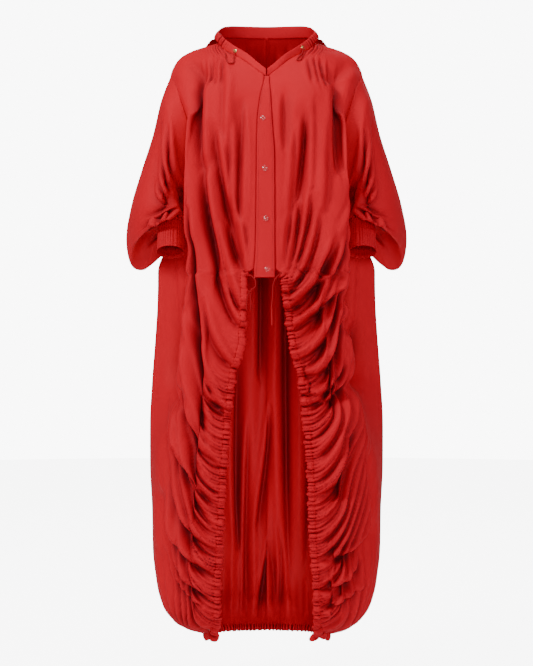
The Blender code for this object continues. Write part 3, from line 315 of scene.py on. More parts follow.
# The largest folds, which the solids have too: where each starts, bends and ends.
FOLDS = {
    Side.LEFT: creases((
        (0.150, 1.310, 0.157, 1.200, 0.155, 1.090, 0.017, 0.026),
        (0.118, 1.156, 0.106, 1.065, 0.060, 0.880, 0.013, 0.022),
        (0.052, 1.213, 0.060, 1.035, 0.056, 0.950, 0.010, 0.018),
        (0.147, 1.076, 0.135, 0.970, 0.087, 0.806, 0.015, 0.024),
        (0.177, 0.892, 0.158, 0.690, 0.128, 0.470, 0.020, 0.027),
        (0.188, 0.779, 0.212, 0.620, 0.177, 0.471, 0.018, 0.027),
        (0.175, 0.480, 0.150, 0.350, 0.112, 0.300, 0.018, 0.027),
        (0.235, 0.460, 0.215, 0.310, 0.125, 0.215, 0.020, 0.030),
        (0.250, 0.330, 0.215, 0.170, 0.125, 0.130, 0.019, 0.028),
        (0.246, 0.200, 0.200, 0.105, 0.135, 0.085, 0.015, 0.024),
    )),
    Side.RIGHT: creases((
        (0.160, 1.300, 0.164, 1.190, 0.164, 1.080, 0.015, 0.026),
        (0.038, 1.240, 0.042, 1.060, 0.040, 0.930, 0.010, 0.018),
        (0.084, 1.190, 0.074, 1.040, 0.050, 0.860, 0.013, 0.021),
        (0.140, 0.850, 0.100, 0.770, 0.060, 0.725, 0.016, 0.024),
        (0.188, 0.805, 0.130, 0.735, 0.067, 0.690, 0.017, 0.025),
        (0.192, 0.770, 0.150, 0.620, 0.078, 0.600, 0.019, 0.027),
        (0.215, 0.720, 0.205, 0.610, 0.092, 0.545, 0.019, 0.027),
        (0.195, 0.478, 0.175, 0.380, 0.110, 0.350, 0.018, 0.027),
        (0.236, 0.420, 0.230, 0.240, 0.125, 0.225, 0.020, 0.030),
        (0.250, 0.260, 0.190, 0.150, 0.130, 0.150, 0.016, 0.026),
    )),
}
BACK_FOLDS = creases((
    (-0.215, 1.000, -0.225, 0.600, -0.215, 0.080, 0.014, 0.022),
    (-0.160, 1.100, -0.165, 0.600, -0.150, 0.070, 0.017, 0.024),
    (-0.098, 1.100, -0.100, 0.550, -0.085, 0.060, 0.020, 0.024),
    (-0.040, 1.120, -0.042, 0.600, -0.035, 0.060, 0.016, 0.022),
    (0.020, 1.080, 0.012, 0.560, 0.005, 0.060, 0.016, 0.022),
    (0.075, 1.120, 0.072, 0.600, 0.060, 0.060, 0.020, 0.024),
    (0.135, 1.080, 0.140, 0.550, 0.120, 0.065, 0.017, 0.024),
    (0.205, 1.000, 0.215, 0.600, 0.200, 0.080, 0.014, 0.022),
))
# Finer creases, placed as the front view shows them.
LEFT_FRONT_CREASES = creases((
    (0.153, 1.310, 0.160, 1.200, 0.155, 1.090, 0.0210, 0.0130),
    (0.122, 1.336, 0.129, 1.305, 0.138, 1.268, 0.0105, 0.0072),
    (0.140, 1.332, 0.146, 1.303, 0.149, 1.266, 0.0088, 0.0058),
    (0.111, 1.340, 0.116, 1.310, 0.118, 1.274, 0.0088, 0.0058),
    (0.098, 1.332, 0.100, 1.305, 0.102, 1.270, 0.0070, 0.0058),
    (0.052, 1.213, 0.059, 1.035, 0.057, 0.955, 0.0123, 0.0087),
    (0.118, 1.156, 0.102, 1.046, 0.054, 0.874, 0.0175, 0.0101),
    (0.147, 1.076, 0.133, 0.969, 0.087, 0.806, 0.0192, 0.0101),
    (0.022, 1.065, 0.022, 0.980, 0.022, 0.892, 0.0070, 0.0051),
    (0.032, 0.988, 0.032, 0.925, 0.032, 0.859, 0.0105, 0.0058),
    (0.181, 0.985, 0.166, 0.716, 0.132, 0.471, 0.0227, 0.0116),
    (0.112, 0.955, 0.079, 0.808, 0.054, 0.757, 0.0158, 0.0087),
    (0.143, 0.584, 0.118, 0.553, 0.074, 0.535, 0.0140, 0.0087),
    (0.188, 0.779, 0.207, 0.639, 0.177, 0.471, 0.0210, 0.0116),
    (0.179, 0.476, 0.155, 0.403, 0.109, 0.355, 0.0158, 0.0087),
    (0.208, 0.456, 0.184, 0.375, 0.109, 0.271, 0.0192, 0.0101),
    (0.249, 0.354, 0.221, 0.243, 0.118, 0.178, 0.0227, 0.0116),
    (0.245, 0.271, 0.212, 0.177, 0.127, 0.124, 0.0175, 0.0087),
    (0.237, 0.170, 0.199, 0.124, 0.138, 0.104, 0.0140, 0.0072),
    (0.080, 1.178, 0.083, 1.068, 0.076, 0.969, 0.0105, 0.0087),
    (0.045, 1.178, 0.043, 1.068, 0.045, 0.969, 0.0070, 0.0058),
    (0.093, 1.310, 0.100, 1.233, 0.098, 1.134, 0.0088, 0.0101),
    (0.067, 0.969, 0.058, 0.903, 0.043, 0.843, 0.0123, 0.0072),
    (0.085, 0.947, 0.067, 0.887, 0.045, 0.834, 0.0123, 0.0072),
    (0.045, 0.947, 0.041, 0.896, 0.036, 0.848, 0.0088, 0.0058),
    (0.141, 1.010, 0.098, 0.799, 0.052, 0.716, 0.0158, 0.0087),
    (0.146, 0.782, 0.116, 0.683, 0.063, 0.623, 0.0175, 0.0101),
    (0.164, 0.694, 0.129, 0.595, 0.074, 0.500, 0.0158, 0.0087),
    (0.199, 0.562, 0.168, 0.474, 0.089, 0.408, 0.0158, 0.0087),
    (0.221, 0.496, 0.195, 0.408, 0.093, 0.315, 0.0175, 0.0101),
    (0.239, 0.408, 0.208, 0.298, 0.098, 0.225, 0.0175, 0.0101),
    (0.234, 0.562, 0.228, 0.474, 0.212, 0.397, 0.0105, 0.0087),
    (0.217, 0.892, 0.223, 0.738, 0.228, 0.584, 0.0105, 0.0116),
    (0.199, 0.865, 0.199, 0.716, 0.212, 0.595, 0.0123, 0.0087),
))
RIGHT_FRONT_CREASES = creases((
    (0.038, 1.239, 0.036, 1.178, 0.038, 1.112, 0.0105, 0.0072),
    (0.084, 1.191, 0.080, 1.112, 0.065, 1.002, 0.0140, 0.0087),
    (0.063, 1.156, 0.061, 1.068, 0.052, 0.969, 0.0105, 0.0072),
    (0.163, 1.288, 0.164, 1.178, 0.168, 1.068, 0.0175, 0.0130),
    (0.122, 1.336, 0.129, 1.305, 0.138, 1.266, 0.0105, 0.0072),
    (0.107, 1.340, 0.113, 1.310, 0.120, 1.270, 0.0088, 0.0058),
    (0.093, 1.332, 0.098, 1.305, 0.102, 1.274, 0.0070, 0.0058),
    (0.140, 1.327, 0.146, 1.301, 0.151, 1.261, 0.0088, 0.0058),
    (0.038, 0.735, 0.074, 0.784, 0.142, 0.830, 0.0175, 0.0087),
    (0.050, 0.709, 0.127, 0.762, 0.188, 0.808, 0.0192, 0.0087),
    (0.058, 0.650, 0.129, 0.689, 0.190, 0.808, 0.0210, 0.0101),
    (0.061, 0.612, 0.149, 0.645, 0.193, 0.773, 0.0210, 0.0101),
    (0.067, 0.573, 0.162, 0.595, 0.210, 0.716, 0.0158, 0.0087),
    (0.080, 0.548, 0.195, 0.595, 0.223, 0.724, 0.0210, 0.0101),
    (0.194, 0.477, 0.169, 0.390, 0.112, 0.354, 0.0210, 0.0116),
    (0.241, 0.342, 0.219, 0.236, 0.113, 0.210, 0.0192, 0.0101),
    (0.245, 0.254, 0.210, 0.166, 0.109, 0.144, 0.0192, 0.0101),
    (0.228, 0.144, 0.173, 0.108, 0.113, 0.108, 0.0140, 0.0072),
    (0.025, 0.947, 0.028, 0.892, 0.032, 0.848, 0.0088, 0.0058),
    (0.052, 0.969, 0.045, 0.914, 0.038, 0.852, 0.0123, 0.0072),
    (0.074, 0.991, 0.065, 0.914, 0.047, 0.837, 0.0158, 0.0087),
    (0.100, 1.024, 0.087, 0.925, 0.052, 0.815, 0.0158, 0.0087),
    (0.122, 0.980, 0.096, 0.870, 0.038, 0.782, 0.0158, 0.0087),
    (0.157, 0.936, 0.122, 0.837, 0.052, 0.755, 0.0158, 0.0087),
    (0.190, 0.975, 0.149, 0.804, 0.065, 0.733, 0.0158, 0.0087),
    (0.109, 1.230, 0.113, 1.134, 0.105, 1.024, 0.0088, 0.0101),
    (0.140, 1.178, 0.142, 1.068, 0.131, 0.969, 0.0105, 0.0101),
    (0.215, 0.892, 0.223, 0.738, 0.226, 0.584, 0.0105, 0.0116),
    (0.199, 0.865, 0.199, 0.716, 0.212, 0.595, 0.0123, 0.0087),
))
SLEEVE_CREASES = creases((
    (0.241, 1.186, 0.241, 1.085, 0.193, 1.026, 0.0175, 0.0087),
    (0.266, 0.977, 0.226, 0.999, 0.184, 1.010, 0.0158, 0.0072),
    (0.259, 0.938, 0.232, 0.966, 0.184, 1.004, 0.0158, 0.0072),
    (0.283, 0.969, 0.234, 0.986, 0.184, 1.008, 0.0105, 0.0058),
    (0.223, 1.178, 0.217, 1.090, 0.186, 1.024, 0.0123, 0.0072),
    (0.256, 1.134, 0.252, 1.046, 0.199, 1.010, 0.0123, 0.0087),
    (0.278, 0.914, 0.239, 0.942, 0.190, 0.980, 0.0105, 0.0058),
    (0.265, 1.068, 0.256, 1.010, 0.208, 0.995, 0.0105, 0.0072),
    (0.292, 0.940, 0.256, 0.962, 0.199, 0.988, 0.0088, 0.0058),
))

# Upright creases of the back, placed from behind; the front view sees them from inside, where
# those of negative depth are troughs.
BACK_CREASES = creases((
    (-0.190, 1.130, -0.200, 0.800, -0.190, 0.420, 0.0152, 0.0159),
    (-0.128, 1.060, -0.135, 0.640, -0.118, 0.110, 0.0152, 0.0145),
    (-0.072, 0.640, -0.076, 0.380, -0.070, 0.180, -0.0260, 0.0100),
    (-0.014, 0.900, -0.014, 0.740, -0.018, 0.600, -0.0200, 0.0110),
    (0.012, 0.540, -0.002, 0.380, -0.024, 0.230, -0.0160, 0.0090),
    (-0.044, 0.500, -0.048, 0.300, -0.052, 0.080, -0.0130, 0.0080),
    (0.044, 0.860, 0.046, 0.460, 0.058, 0.070, -0.0260, 0.0130),
    (0.098, 0.820, 0.104, 0.480, 0.096, 0.120, -0.0180, 0.0120),
    (0.004, 0.210, -0.008, 0.110, -0.018, 0.045, -0.0120, 0.0060),
    (0.005, 0.200, 0.016, 0.110, 0.014, 0.050, -0.0120, 0.0060),
    (0.030, 0.250, 0.037, 0.140, 0.032, 0.055, -0.0110, 0.0065),
    (0.168, 1.060, 0.176, 0.640, 0.165, 0.200, 0.0152, 0.0145),
    (-0.150, 1.290, -0.120, 1.180, -0.115, 1.050, 0.0114, 0.0130),
    (0.150, 1.290, 0.125, 1.170, 0.118, 1.040, 0.0114, 0.0130),
    (-0.215, 0.720, -0.205, 0.420, -0.160, 0.130, 0.0152, 0.0159),
    (0.225, 0.760, 0.214, 0.460, 0.170, 0.150, 0.0152, 0.0159),
))
SLEEVE_BACK_CREASES = creases((
    (0.235, 1.200, 0.250, 1.080, 0.285, 0.960, 0.0104, 0.0081),
    (0.215, 1.120, 0.232, 1.020, 0.272, 0.920, 0.0104, 0.0072),
    (0.205, 1.040, 0.225, 0.970, 0.262, 0.900, 0.0091, 0.0063),
    (0.270, 1.120, 0.292, 1.030, 0.305, 0.960, 0.0078, 0.0072),
    (0.240, 0.990, 0.262, 0.940, 0.290, 0.915, 0.0078, 0.0054),
))
HOOD_CREASES = creases((
    (0.030, 1.380, 0.040, 1.310, 0.034, 1.220, 0.0075, 0.0081),
    (0.070, 1.370, 0.082, 1.290, 0.078, 1.200, 0.0090, 0.0090),
    (0.104, 1.372, 0.118, 1.320, 0.126, 1.270, 0.0090, 0.0081),
    (0.015, 1.260, 0.060, 1.190, 0.110, 1.200, 0.0075, 0.0090),
    (0.055, 1.395, 0.060, 1.360, 0.058, 1.320, 0.0060, 0.0054),
    (0.088, 1.395, 0.096, 1.360, 0.100, 1.330, 0.0060, 0.0054),
))

# Routes of the cords: across and height in front of a front, or points from its exit on.
HOOD_LOOPS = {
    Side.LEFT: ((0.0745, 1.3410), (0.0735, 1.3280), (0.0775, 1.3195), (0.0850, 1.3195),
                (0.0905, 1.3280), (0.0930, 1.3400), (0.0935, 1.3480)),
    Side.RIGHT: ((0.0800, 1.3450), (0.0730, 1.3370), (0.0690, 1.3290), (0.0740, 1.3275),
                 (0.0800, 1.3350), (0.0850, 1.3430), (0.0885, 1.3490)),
}
HOOD_CORD_OFF = 0.0047        # of the hood's cord in front of the cloth
EYELET_HEIGHTS = {Side.LEFT: 1.352, Side.RIGHT: 1.362}
EYELET_LIFT = 0.0023          # of the eyelets off the casing's middle
KNOTS = {Side.LEFT: (-0.0375, -0.2008, 0.8003), Side.RIGHT: (0.0305, -0.1970, 0.8405)}
WAIST_CORDS = {
    "left_loop": ((-0.0387, -0.1935, 0.8353), (-0.0345, -0.1962, 0.8350),
                  (-0.0290, -0.1995, 0.8300), (-0.0240, -0.2010, 0.8225),
                  (-0.0240, -0.2015, 0.8130), (-0.0290, -0.2012, 0.8070),
                  (-0.0347, -0.2009, 0.8037)),
    "left_outer": ((-0.0393, -0.2008, 0.7966), (-0.0415, -0.2012, 0.7900),
                   (-0.0436, -0.2014, 0.7800), (-0.0440, -0.2014, 0.7600)),
    "left_inner": ((-0.0357, -0.2008, 0.7966), (-0.0354, -0.2012, 0.7880),
                   (-0.0352, -0.2014, 0.7780), (-0.0341, -0.2014, 0.7590)),
    "right": ((0.0285, -0.1972, 0.8373), (0.0235, -0.1987, 0.8332), (0.0168, -0.1990, 0.8230),
              (0.0138, -0.1990, 0.8090), (0.0136, -0.1990, 0.7930), (0.0112, -0.1990, 0.7660),
              (0.0117, -0.1990, 0.7260)),
}
SNAP_HEIGHTS = (1.185, 1.072, 0.961, 0.850)
SNAP_DRIFT = 0.0028           # from one cap to the next, to the right
SNAP_RADIUS = 0.0065


# ---------- curves and surfaces


def slopes(knots: Array, values: Array) -> Array:
    """Slopes of a curve that never swings past its values.

    Args:
        knots: places of the values, rising.
        values: one row of numbers a knot.

    Returns:
        One row of slopes a knot.
    """
    step = np.diff(knots)[:, None]
    secant = np.diff(values, axis=0) / step
    slope = np.zeros_like(values)
    before, after = secant[:-1], secant[1:]
    same_way = before * after > 0.0
    weight_before = 2.0 * step[1:] + step[:-1]
    weight_after = step[1:] + 2.0 * step[:-1]
    safe_before = np.where(same_way, before, 1.0)
    safe_after = np.where(same_way, after, 1.0)
    weights = weight_before + weight_after
    mean = weights / (weight_before / safe_before + weight_after / safe_after)
    slope[1:-1] = np.where(same_way, mean, 0.0)
    slope[0], slope[-1] = secant[0], secant[-1]
    return slope


def smooth(knots: Sequence[float], values: Array, places: Array) -> Array:
    """Cubic curve through rows of values, read at the places.

    Args:
        knots: places of the values, rising.
        values: the values, one entry a knot, of any shape.
        places: where the curve is read.

    Returns:
        One entry a place, shaped as the values are.
    """
    knots = np.asarray(knots, float)
    values = np.asarray(values, float)
    flat = values.reshape(len(knots), -1)
    slope = slopes(knots, flat)
    places = np.clip(np.asarray(places, float), knots[0], knots[-1])
    index = np.clip(np.searchsorted(knots, places, side="right") - 1, 0, len(knots) - 2)
    span = (knots[index + 1] - knots[index])[:, None]
    t = (places - knots[index])[:, None] / span
    low, high = flat[index], flat[index + 1]
    result = (low * (2 * t**3 - 3 * t**2 + 1) + high * (3 * t**2 - 2 * t**3)
              + slope[index] * span * (t**3 - 2 * t**2 + t)
              + slope[index + 1] * span * (t**3 - t**2))
    return result.reshape((len(places),) + values.shape[1:])


def column(table: Sequence[NamedTuple], name: str) -> Array:
    """One named column of a table."""
    return np.array([getattr(row, name) for row in table])


def unit(vectors: Array) -> Array:
    """The vectors at length 1."""
    return vectors / np.maximum(np.linalg.norm(vectors, axis=-1, keepdims=True), TINY)


def faded(distance: Array, reach: float) -> Array:
    """0 where the distance is 0, rising softly to 1 at the reach."""
    t = np.clip(distance / reach, 0.0, 1.0)
    return t * t * (3.0 - 2.0 * t)


def normals_of(grid: Array) -> Array:
    """Unit normals of a grid of points, along its columns' way times its rows' way."""
    return unit(np.cross(np.gradient(grid, axis=1), np.gradient(grid, axis=0)))


def runs(grid: Array) -> Array:
    """Length along each row of a grid from its first point."""
    step = np.linalg.norm(np.diff(grid, axis=1), axis=2)
    return np.concatenate((np.zeros((grid.shape[0], 1)), np.cumsum(step, axis=1)), axis=1)


def drops(grid: Array) -> Array:
    """Length along each column of a grid from its first point."""
    step = np.linalg.norm(np.diff(grid, axis=0), axis=2)
    return np.concatenate((np.zeros((1, grid.shape[1])), np.cumsum(step, axis=0)))


def length_along(line: Array) -> Array:
    """Length along a polyline at each of its points."""
    return np.concatenate(((0.0,), np.cumsum(np.linalg.norm(np.diff(line, axis=0), axis=1))))


def points_at(places: Array | float, reach: Array, points: Array) -> Array:
    """Points of a polyline at places along it; reach is the length at each of its points."""
    return np.stack([np.interp(places, reach, points[:, axis]) for axis in range(3)], axis=-1)


def full_turn(count: int) -> Array:
    """Even angles of a full turn."""
    return np.arange(count) * 2.0 * math.pi / count


def evened(vectors: Array, times: int) -> Array:
    """Unit vectors evened out along a line, so many times."""
    for _ in range(times):
        padded = np.concatenate((vectors[:1], vectors, vectors[-1:]))
        vectors = unit(padded[:-2] + 2.0 * padded[1:-1] + padded[2:])
    return vectors


def read(table: Sequence[NamedTuple], name: str, heights: Array) -> Array:
    """One named column of a table of the cut at the heights."""
    return smooth(column(table, "height"), column(table, name), heights)


def guide(table: Sequence[NamedTuple], name: str, heights: Array) -> Array:
    """Across and deep of one named line of the cut at the heights."""
    return np.array((read(table, name, heights), read(table, name + "_deep", heights)))


def front_surface(side: Side, places: Array, heights: Array) -> Array:
    """The unfolded front.

    Args:
        side: left or right.
        places: 0 at the front edge to 1 at the side seam.
        heights: heights of the rows.

    Returns:
        Points by height and place.
    """
    guides = [np.array((read(FRONT_SECTIONS, "edge_" + side.word, heights),
                        read(FRONT_SECTIONS, "edge_deep", heights)))]
    guides += [guide(FRONT_SECTIONS, name, heights) for name in ("front", "corner", "nook")]
    guides.append(guide(SIDE_SEAM, "front", heights))
    curve = smooth(FRONT_KNOTS, np.array(guides), places)
    across, deep = curve[:, 0].T * side.value, curve[:, 1].T
    return np.stack((across, deep, heights[:, None] * np.ones_like(deep)), axis=-1)


def back_surface(places: Array, heights: Array) -> Array:
    """The unfolded back.

    Args:
        places: -1 at the left seam, 0 at the centre, 1 at the right seam.
        heights: heights of the rows.

    Returns:
        Points by height and place; at the neck its rows sag towards the centre.
    """
    guides = [guide(SIDE_SEAM, "back", heights)]
    guides += [guide(BACK_SECTIONS, name, heights) for name in ("flank", "blade")]
    guides.append(np.array((np.zeros(len(heights)),
                            read(BACK_SECTIONS, "centre_deep", heights))))
    curve = smooth(BACK_KNOTS, np.array(guides), 1.0 - np.abs(places))
    across, deep = curve[:, 0].T * np.sign(places), curve[:, 1].T
    sag = np.cos(np.abs(places) * math.pi / 2.0) ** 0.8
    height = heights[:, None] - read(BACK_SECTIONS, "dip", heights)[:, None] * sag
    return np.stack((across, deep, height), axis=-1)


# ---------- folds, creases, gathers

# The section of a crease: a trough, steep on one side with a low ridge beside it and gentle on
# the other. Places and widths count in its half widths, the ridge's height in its depth.
STEEP_SIDE, GENTLE_SIDE = 0.45, 1.9
RIDGE_PLACE, RIDGE_WIDTH, RIDGE_HEIGHT = 1.3, 0.7, 0.42
CREASE_REACH = 9.0            # beyond this it is left flat
FACING_FROM, FACING_OVER = 0.10, 0.50        # cloth turned away takes no crease


def crease_path(crease: Crease, steps: int = 9) -> Array:
    """Points of a crease from its start over its bend to its end."""
    t = np.linspace(0.0, 1.0, steps)[:, None]
    start = np.array((crease.start, crease.start_high))
    bend = np.array((crease.bend, crease.bend_high))
    end = np.array((crease.end, crease.end_high))
    control = 2.0 * bend - (start + end) / 2.0
    return (1 - t) ** 2 * start + 2 * t * (1 - t) * control + t**2 * end


def nearest_on(flat: Array, path: Array) -> tuple[Array, Array]:
    """Nearness of flat points to a path.

    Args:
        flat: points, two numbers each.
        path: points of the path.

    Returns:
        The distance of each point, negative on the left of the way up, and how far along the
        path its foot lies, from 0 to 1.
    """
    best = np.full(flat.shape[:-1], np.inf)
    along = np.zeros(flat.shape[:-1])
    hand = np.ones(flat.shape[:-1])
    legs = len(path) - 1
    for leg, (start, end) in enumerate(zip(path, path[1:])):
        way = end - start
        share = np.clip(((flat - start) @ way) / max(way @ way, TINY), 0.0, 1.0)
        away = np.linalg.norm(flat - start - share[..., None] * way, axis=-1)
        closer = away < best
        best = np.where(closer, away, best)
        along = np.where(closer, (leg + share) / legs, along)
        turned = way[1] * (flat[..., 0] - start[0]) - way[0] * (flat[..., 1] - start[1])
        hand = np.where(closer, np.where(turned * np.sign(way[1] or 1.0) < 0.0, -1.0, 1.0), hand)
    return best * hand, along


def solid_folds(grid: Array, folds: Sequence[Crease], free_edge: bool) -> Array:
    """Depth of the folds that the solids have, measured along the rows.

    Args:
        grid: the unfolded panel.
        folds: its folds.
        free_edge: whether the rows start at a free edge, or have their middle at the centre.

    Returns:
        A depth for each point.
    """
    across = np.abs(grid[..., 0]) if free_edge else grid[..., 0]
    run = runs(grid)
    middle = 0 if free_edge else grid.shape[1] // 2
    run = run - run[:, middle:middle + 1]
    flat = np.stack((run, grid[..., 2]), axis=-1)
    total = np.zeros(grid.shape[:2])
    for fold in folds:
        path = []
        for place, height in crease_path(fold):
            row = int(np.argmin(np.abs(grid[:, middle, 2] - height)))
            reach = np.maximum.accumulate(across[row]) + np.arange(grid.shape[1]) * 1e-9
            path.append((np.interp(place, reach, run[row]), height))
        away, _ = nearest_on(flat, np.array(path))
        total += fold.depth * np.exp(-(away / fold.width) ** 2)
    return total


def pressed(grid: Array, outward: Array, rows: Sequence[Crease], view: View,
            mirrored: bool = True) -> Array:
    """Depth of the creases placed in a view, with a low ridge beside each.

    Args:
        grid: points of the cloth.
        outward: its outward normals.
        rows: the creases.
        view: where they are seen from.
        mirrored: whether across counts from the centre plane to either side.

    Returns:
        A depth for each point, inwards.
    """
    facing = faded(outward @ np.array(view.value) - FACING_FROM, FACING_OVER)
    across = np.abs(grid[..., 0]) if mirrored else grid[..., 0]
    flat = np.stack((across, grid[..., 2]), axis=-1)
    total = np.zeros(grid.shape[:2])
    for row in rows:
        path = crease_path(row)
        low = path.min(axis=0) - CREASE_REACH * row.width
        high = path.max(axis=0) + CREASE_REACH * row.width
        near = np.all((flat > low) & (flat < high), axis=-1)
        if not near.any():
            continue
        away, along = nearest_on(flat[near], path)
        taper = np.clip(4.0 * along * (1.0 - along) + 0.10, 0.0, 1.0) ** 0.7
        width = row.width * (0.75 + 0.5 * taper)
        steep = np.exp(-(away / (STEEP_SIDE * width)) ** 2)
        gentle = np.exp(-np.abs(away) / (GENTLE_SIDE * width))
        trough = np.where(away < 0.0, steep, gentle)
        ridge = np.exp(-((away + RIDGE_PLACE * width) / (RIDGE_WIDTH * width)) ** 2)
        total[near] += row.depth * taper * (trough - RIDGE_HEIGHT * ridge)
    return total * facing


def gathers(place: Array, pitch: float, seed: float) -> tuple[Array, Array]:
    """Uneven gathers along a line.

    Args:
        place: length along the line, metres.
        pitch: mean width of a gather.
        seed: shifts the pattern.

    Returns:
        The height of the ridge from 0 to 1, and a number from 0 to 1 for each gather.
    """
    steps = place / pitch         # two slow waves make them wider and narrower
    phase = steps + 0.32 * np.sin(steps * 0.83 + seed) + 0.24 * np.sin(steps * 0.31 + 2.1 * seed)
    number = np.floor(phase)
    chance = np.abs(np.sin(number * 12.9898 + seed * 4.7)) * 43.7585
    return np.abs(np.sin(math.pi * phase)) ** 0.8, chance - np.floor(chance)


# ---------- finishes

MIX_FROM, MIX_TO, MIX_RESULT = 6, 7, 2       # colour sockets of a Mix node, which share names


def linear(code: str) -> tuple[float, float, float, float]:
    """An sRGB hex colour as linear values."""
    parts = [int(code[i:i + 2], 16) / 255.0 for i in (1, 3, 5)]
    return (*[p / 12.92 if p <= 0.04045 else ((p + 0.055) / 1.055) ** 2.4 for p in parts], 1.0)


def add_node(owner: Material | bpy.types.World, kind: str, settings: dict | None = None,
             links: dict | None = None) -> bpy.types.Node:
    """Adds a node with its settings and links.

    Args:
        owner: the material or world that gets it.
        kind: the node's type.
        settings: values by property, input name or input number.
        links: output sockets by input name or number.

    Returns:
        The node.
    """
    node = owner.node_tree.nodes.new(kind)
    for name, value in (settings or {}).items():
        if isinstance(name, int) or name in node.inputs:
            node.inputs[name].default_value = value
        else:
            setattr(node, name, value)
    for name, socket in (links or {}).items():
        owner.node_tree.links.new(socket, node.inputs[name])
    return node


def new_material(name: str, settings: dict) -> tuple[Material, bpy.types.Node]:
    """Starts a material.

    Args:
        name: its name.
        settings: values of its shader's inputs by name.

    Returns:
        The material and its shader.
    """
    made = bpy.data.materials.new(name)
    made.use_nodes = True
    shader = made.node_tree.nodes["Principled BSDF"]
    for key, value in settings.items():
        shader.inputs[key].default_value = value
    return made, shader


@dataclass(frozen=True)
class WovenNylon:
    """Plain-woven nylon poplin, dyed in the piece: matte, with a soft sheen and painted shade in
    its folds.
    """

    name: str = "woven_nylon"
    lit: str = "#CE0A22"
    deep: str = "#B8061A"
    fold: str = "#58020C"         # painted shade: the colour that the bottom of a fold is darkened to
    shade_reach: float = 0.030    # reach of the occlusion that paints the shade into a fold
    roughness: float = 0.66
    thread: float = 0.0011        # drawn three times as coarse as the real 0.35 mm, to show
    thread_height: float = 0.0003
    wrinkle: float = 0.0007       # height of the soft wrinkles of worn cloth

    def make(self) -> Material:
        """Builds the material.

        Returns:
            The material, with its weave on the piece's own map in metres.
        """
        made, shader = new_material(self.name, {
            "Roughness": self.roughness, "IOR": 1.5, "Specular IOR Level": 0.14,
            "Sheen Weight": 0.02, "Sheen Roughness": 0.45, "Sheen Tint": linear("#FF8A80")})
        place = add_node(made, "ShaderNodeTexCoord")
        cloud = add_node(made, "ShaderNodeTexNoise",
                         {"Scale": 5.0, "Detail": 3.0, "Roughness": 0.55},
                         {"Vector": place.outputs["Object"]})
        colour = add_node(made, "ShaderNodeMix",
                          {"data_type": "RGBA", MIX_FROM: linear(self.deep),
                           MIX_TO: linear(self.lit)},
                          {"Factor": cloud.outputs["Fac"]})
        # Painted shade: ambient occlusion darkens the base colour towards the fold colour in the
        # piece's creases and hollows.
        painted_fold_shade = add_node(made, "ShaderNodeAmbientOcclusion",
                          {"samples": 8, "only_local": True, "Distance": self.shade_reach})
        depth = add_node(made, "ShaderNodeMapRange", {"From Min": 0.35, "From Max": 0.95},
                         {"Value": painted_fold_shade.outputs["AO"]})
        shade = add_node(made, "ShaderNodeMix", {"data_type": "RGBA", MIX_FROM: linear(self.fold)},
                         {"Factor": depth.outputs["Result"], MIX_TO: colour.outputs[MIX_RESULT]})
        made.node_tree.links.new(shade.outputs[MIX_RESULT], shader.inputs["Base Color"])
        soft = add_node(made, "ShaderNodeTexNoise",
                        {"Scale": 26.0, "Detail": 2.0, "Roughness": 0.5, "Distortion": 0.6},
                        {"Vector": place.outputs["Object"]})
        warp, weft = (add_node(made, "ShaderNodeTexWave",
                               {"wave_type": "BANDS", "bands_direction": direction,
                                "Scale": 1.0 / (self.thread * 20.0), "Distortion": 0.0},
                               {"Vector": place.outputs["UV"]})
                      for direction in ("X", "Y"))
        weave = add_node(made, "ShaderNodeMath", {"operation": "MAXIMUM"},
                         {0: warp.outputs["Fac"], 1: weft.outputs["Fac"]})
        wrinkles = add_node(made, "ShaderNodeBump", {"Strength": 0.55, "Distance": self.wrinkle},
                            {"Height": soft.outputs["Fac"]})
        cloth = add_node(made, "ShaderNodeBump",
                         {"Strength": 0.16, "Distance": self.thread_height},
                         {"Height": weave.outputs["Value"], "Normal": wrinkles.outputs["Normal"]})
        made.node_tree.links.new(cloth.outputs["Normal"], shader.inputs["Normal"])
        return made


@dataclass(frozen=True)
class BraidedCord:
    """Braided polyester cord, dyed to match: matte, with its strands crossing."""

    name: str = "braided_cord"
    colour: str = "#9A0412"
    strands: float = 900.0        # a metre: 1.1 mm each
    strand_height: float = 0.0003

    def make(self) -> Material:
        """Builds the material.

        Returns:
            The material.
        """
        made, shader = new_material(self.name, {"Base Color": linear(self.colour),
                                                "Roughness": 0.72, "Specular IOR Level": 0.2})
        place = add_node(made, "ShaderNodeTexCoord")
        braid = add_node(made, "ShaderNodeTexVoronoi", {"Scale": self.strands},
                         {"Vector": place.outputs["Object"]})
        bump = add_node(made, "ShaderNodeBump",
                        {"Strength": 0.5, "Distance": self.strand_height},
                        {"Height": braid.outputs["Distance"]})
        made.node_tree.links.new(bump.outputs["Normal"], shader.inputs["Normal"])
        return made


@dataclass(frozen=True)
class SnapPaint:
    """Baked gloss enamel on pressed brass: a smooth bright skin with soft highlights."""

    name: str = "snap_enamel"
    colour: str = "#B4101A"
    worn: str = "#C01C28"
    patches: float = 300.0        # a metre: 3.3 mm each

    def make(self) -> Material:
        """Builds the material.

        Returns:
            The material.
        """
        made, shader = new_material(self.name, {"Roughness": 0.24, "IOR": 1.5,
                                                "Coat Weight": 0.8, "Coat Roughness": 0.12})
        place = add_node(made, "ShaderNodeTexCoord")
        wear = add_node(made, "ShaderNodeTexNoise", {"Scale": self.patches, "Detail": 2.0},
                        {"Vector": place.outputs["Object"]})
        colour = add_node(made, "ShaderNodeMix",
                          {"data_type": "RGBA", MIX_FROM: linear(self.colour),
                           MIX_TO: linear(self.worn)},
                          {"Factor": wear.outputs["Fac"]})
        made.node_tree.links.new(colour.outputs[MIX_RESULT], shader.inputs["Base Color"])
        return made


